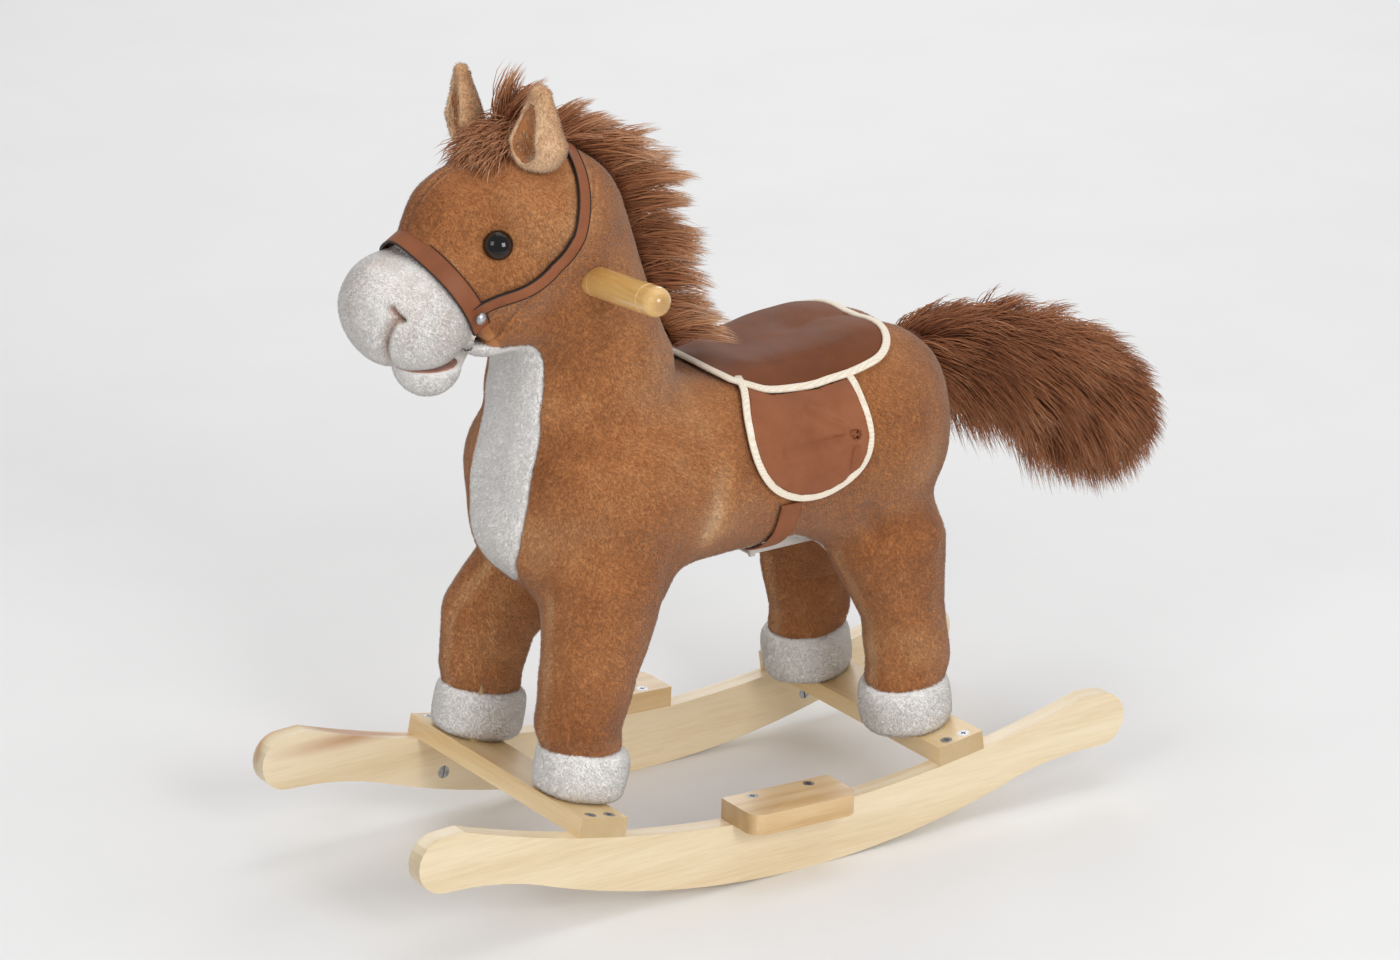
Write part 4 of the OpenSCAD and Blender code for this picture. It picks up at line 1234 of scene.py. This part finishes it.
def along(curve, t):
    """Point at t, from 0 to 1, on a line through the stops."""
    curve = np.asarray(curve, float)
    at = t * (len(curve) - 1)
    i = np.clip(at.astype(int), 0, len(curve) - 2)
    return curve[i] + (curve[i + 1] - curve[i]) * (at - i)[:, None]


HAIR_RADII = [0.44, 0.44, 0.4, 0.34, 0.27, 0.18]
RIDGE = [(0, -134, 566), (0, -112, 560), (0, -90, 540), (0, -72, 512), (0, -58, 480), (0, -46, 448),
         (0, -30, 418), (0, -12, 394)]


def hair_count(n):
    return n


def mane_piece():
    rng = np.random.default_rng(301)
    count, locks = hair_count(5600), 190
    lock_t, lock_x = rng.random(locks), rng.uniform(-19, 19, locks)
    lock_turn = rng.normal(size=(locks, 3)) * 0.17
    lock = clumped(rng, count, locks)
    t = np.clip(lock_t[lock] + rng.normal(size=count) * 0.018, 0, 1)
    x = np.clip(lock_x[lock] + rng.normal(size=count) * 2.4, -21, 21)
    roots = along(RIDGE, t)
    roots[:, 0] = x
    roots = settle(animal, roots, -1.0, 6)
    n = slope(animal, roots)
    back = np.array([0, 0.9, 0.1])
    down = np.array([0, 0.75, -0.75])
    fan = np.stack([x / 19 * 0.55, np.zeros(count), np.zeros(count)], 1)
    lift = (0.2 + 0.6 * t)[:, None]
    first = unit(n * lift + back * 0.9 + fan * 0.7 + lock_turn[lock])
    last = unit(back * 0.8 + down * 0.85 + fan * 0.4 + lock_turn[lock] * 1.6)
    lock_long = rng.uniform(0.86, 1.14, locks)
    length = (53 + 7 * np.sin(t * math.pi)) * rng.uniform(0.8, 1.06, count) * lock_long[lock]
    paths = drawn_in(grow(roots, first, last, length, 7, 0.1, rng), lock, locks, 0.55)
    tones = 0.72 + (noise(roots + 50, 14, 81) - 0.5) * 0.34 + rng.normal(size=count) * 0.07
    return strands("mane_hair", paths, HAIR_RADII, tones, hair_look, 302)


def forelock_piece():
    rng = np.random.default_rng(311)
    count, locks = hair_count(2000), 46
    x = np.clip(rng.normal(size=count) * 11, -22, 22)
    y = rng.uniform(-180, -136, count)
    roots = np.stack([x, y, np.full(count, 558.0)], 1)
    roots = settle(animal, roots, -1.0, 6)
    n = slope(animal, roots)
    t = (y + 138) / -48
    lock = clumped(rng, count, locks)
    wisp = lock < 5
    x[wisp] = 0.3 * x[wisp] - 9
    crown = np.stack([x[wisp], 0.3 * y[wisp] - 108, np.full(wisp.sum(), 562.0)], 1)
    roots[wisp] = settle(animal, crown, -1.0, 6)
    ahead = np.stack([x / 60, np.full(count, -0.6), np.full(count, -0.7)], 1)
    first = unit(n * 0.8 + ahead * (0.2 + 0.7 * t)[:, None] + rng.normal(size=(count, 3)) * 0.2)
    last = unit(ahead + rng.normal(size=(count, 3)) * 0.25)
    spray = rng.normal(size=(locks, 3)) * 0.3
    first[wisp] = unit(np.array([-0.2, -0.1, 1.0]) + spray[lock[wisp]])
    last[wisp] = unit(np.array([0.55, 0.85, 0.9]) + spray[lock[wisp]] * 1.4)
    length = 29 * rng.uniform(0.7, 1.2, count) + wisp * rng.uniform(12, 34, count)
    paths = grow(roots, first, last, length, 6, 0.12, rng)
    paths[wisp] = drawn_in(paths[wisp], lock[wisp], locks, 0.45)
    tones = 0.62 + rng.normal(size=count) * 0.1
    return strands("forelock_hair", paths, HAIR_RADII[:5], tones, hair_look, 312)


def hair_base():
    """Dark backing strips under the mane and the forelock."""

    def field(p):
        strip = to_path(spread(p, 14), [(0, y, z) for _, y, z in RIDGE])
        tuft = to_path(spread(p, 12), [(0, -184, 553), (0, -150, 562)])
        return both(np.abs(animal(p) - 0.5) - 3.0, np.minimum(strip - 8, tuft - 9), 2)

    return field_piece("mane_backing", field, ((-34, -204, 380), (34, 6, 580)), 2.4, hair_core,
                       lambda p: noise(p, 8, 83))


dress(mane_piece(), ["mane"])
dress(forelock_piece(), ["forelock"])
dress(hair_base())

TAIL = [(0, 178, 338), (0, 226, 336), (0, 276, 322), (0, 322, 302), (0, 362, 280), (0, 382, 264)]


def tail_core():
    def field(p):
        radii = (13, 17, 24, 26, 20, 10)
        return chain(p, [(*s, r) for s, r in zip(TAIL, radii)]) + (noise(p, 16, 91) - 0.5) * 5

    return field_piece("tail_backing", field, ((-40, 166, 236), (40, 420, 366)), 3.0, hair_core,
                       lambda p: noise(p, 9, 92))


def tail_piece(part, count, seed):
    rng = np.random.default_rng(seed)
    count, locks = hair_count(count), 320
    lock = clumped(rng, count, locks)
    lock_t, lock_a = rng.random(locks) ** 0.9, rng.uniform(0, 2 * math.pi, locks)
    lock_turn = rng.normal(size=(locks, 3)) * 0.12
    t = np.clip(lock_t[lock] + rng.normal(size=count) * 0.02, 0, 1)
    angle = lock_a[lock] + rng.normal(size=count) * 0.16
    spine = along(TAIL, t)
    ahead = unit(along(TAIL, np.clip(t + 0.05, 0, 1)) - along(TAIL, np.clip(t - 0.05, 0, 1)))
    side = np.array([1.0, 0, 0])
    above = np.cross(ahead, -side)
    above *= np.sign(above[:, 2])[:, None]
    radial = np.cos(angle)[:, None] * side + np.sin(angle)[:, None] * above
    up = np.sin(angle)
    core = 10 + 10 * np.sin(np.clip(t, 0, 1) * math.pi) ** 0.7
    roots = spine + radial * core[:, None]
    drop = np.array([0, 0, -1.0])
    first = unit(radial * 0.85 + ahead * 0.7 + lock_turn[lock])
    fall = np.clip(0.5 - 0.5 * up, 0, 1)
    last = unit(ahead * 0.75 + radial * 0.2 + drop * (0.35 + 0.8 * fall)[:, None] + lock_turn[lock] * 1.4)
    length = (52 + 34 * fall) * (0.72 + 0.28 * np.sin(t * math.pi)) * rng.uniform(0.75, 1.12, count)
    paths = drawn_in(grow(roots, first, last, length, 7, 0.12, rng), lock, locks, 0.28)
    tones = 0.38 + (noise(roots, 17, 93) - 0.5) * 0.34 + 0.1 * np.abs(up) + rng.normal(size=count) * 0.06
    return strands(f"tail_hair_{part}", paths, HAIR_RADII, tones, hair_look, seed + 1)


dress(tail_core(), body="tail")
dress(tail_piece("under", 5400, 321), ["tail_hair"], "tail")
dress(tail_piece("over", 5400, 331), body="tail")

# ---------- wooden and hidden CAD parts ----------


def bevelled(node, width):
    """Breaks the sharp edges of a CAD part by modifiers, so its own mesh stays."""
    weld = node.modifiers.new("weld", "WELD")
    weld.merge_threshold = 0.00001
    edge = node.modifiers.new("edges", "BEVEL")
    edge.width = width
    edge.segments = 3
    edge.limit_method = "ANGLE"
    edge.angle_limit = math.radians(35)
    edge.harden_normals = True


def wear(name, material, bevel):
    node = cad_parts[name]
    node.data.materials.clear()
    node.data.materials.append(material)
    if bevel:
        bevelled(node, bevel)


left_wood = wood_look("poplar_left", PALE, 0.42, 0.25, seed=0.11)
right_wood = wood_look(
    "poplar_right", PALE, 0.42, 0.25, seed=0.43,
    streaks=[((-112, -236, 84), (12, 9, 75), HEART), ((-112, 96, 70), (12, 13, 60), HEART)],
)
bar_wood = wood_look("deal_crossbars", DEAL, 0.4, 0.3, along="x", seed=0.27)
foot_wood = wood_look("varnished_footrests", HONEY, 0.34, 0.45, seed=0.61)
peg_wood = wood_look("varnished_pegs", VARNISHED, 0.25, 0.7, along="x", seed=0.83)
inner_wood = wood_look("sawn_inside", SAWN, 0.7, 0.0, seed=0.35)
posts = [f"post_{end}_{hand}" for end in ("front", "rear") for hand in ("left", "right")]
boards = ["body_board_left", "body_board_right", "body_cross_blocks", "seat_board", "neck_board"]
WORN = (  # material, width of the broken edges in m, CAD parts
    (left_wood, 0.0016, ["rocker_left"]),
    (right_wood, 0.0016, ["rocker_right"]),
    (bar_wood, 0.0012, ["crossbar_front", "crossbar_rear"]),
    (foot_wood, 0.0018, ["footrest_left", "footrest_right"]),
    (peg_wood, 0.0, ["handle_left", "handle_right"]),
    (inner_wood, 0.0, posts + boards),
    (steel, 0.0, ["wood_screws", "crossbar_bolts", "barrel_nuts", "post_screws", "jaw_shaft", "tail_shaft"]),
    (pale_plastic, 0.0, ["jaw_gearbox", "jaw_lever", "battery_box", "battery_cover"]),
    (dark_plastic, 0.0, ["tail_gearbox", "tail_arm", "sound_module", "ear_button"]),
    (cell_wrap, 0.0, ["batteries"]),
)
for material, edge, names in WORN:
    for name in names:
        wear(name, material, edge)

# ---------- floor, light and camera ----------

floor_look = Look("plain_floor")
floor_look.base(floor_look.ramp(floor_look.noise(6), [(0.3, (0.86, 0.86, 0.86)), (0.7, (0.88, 0.88, 0.88))]))
floor_look.set(Roughness=0.9, Specular_IOR_Level=0.1)
FLOOR_HALF = 30.0
floor_mesh = bpy.data.meshes.new("floor")
corners = [(-FLOOR_HALF, -FLOOR_HALF, 0), (FLOOR_HALF, -FLOOR_HALF, 0), (FLOOR_HALF, FLOOR_HALF, 0),
           (-FLOOR_HALF, FLOOR_HALF, 0)]
floor_mesh.from_pydata(corners, [], [(0, 1, 2, 3)])
floor_mesh.materials.append(floor_look.mat)
floor = bpy.data.objects.new("floor", floor_mesh)
bpy.context.scene.collection.objects.link(floor)

world = bpy.data.worlds.new("studio")
bpy.context.scene.world = world
world.use_nodes = True
world.node_tree.nodes["Background"].inputs["Color"].default_value = (1, 1, 1, 1)
world.node_tree.nodes["Background"].inputs["Strength"].default_value = 0.63


def softbox(name, location, target, size, power):
    light = bpy.data.lights.new(name, "AREA")
    light.shape = "SQUARE"
    light.size = size
    light.energy = power
    lamp = bpy.data.objects.new(name, light)
    lamp.location = location
    lamp.rotation_euler = (Vector(target) - Vector(location)).to_track_quat("-Z", "Y").to_euler()
    bpy.context.scene.collection.objects.link(lamp)


MIDDLE = (0, -0.03, 0.3)
softbox("key", (1.3, -2.6, 1.9), MIDDLE, 0.9, 11)
softbox("fill", (2.9, -0.4, 1.6), MIDDLE, 0.9, 29)
softbox("top", (0.2, 0.4, 3.0), MIDDLE, 2.2, 16)
softbox("back", (-2.4, 1.8, 1.8), MIDDLE, 1.4, 13)

camera = bpy.data.objects.new("camera", bpy.data.cameras.new("camera"))
camera.data.sensor_width = 36
camera.data.lens = 137.12  # fitted, with the two points below, to the photo's viewing angle
camera.data.clip_end = 100
EYE_POINT = Vector((3.08556, -2.10105, 1.58841))
camera.location = EYE_POINT
camera.rotation_euler = (Vector((0, -0.05656, 0.27068)) - EYE_POINT).to_track_quat("-Z", "Y").to_euler()
bpy.context.scene.collection.objects.link(camera)
bpy.context.scene.camera = camera
bpy.context.scene.view_settings.view_transform = "Standard"
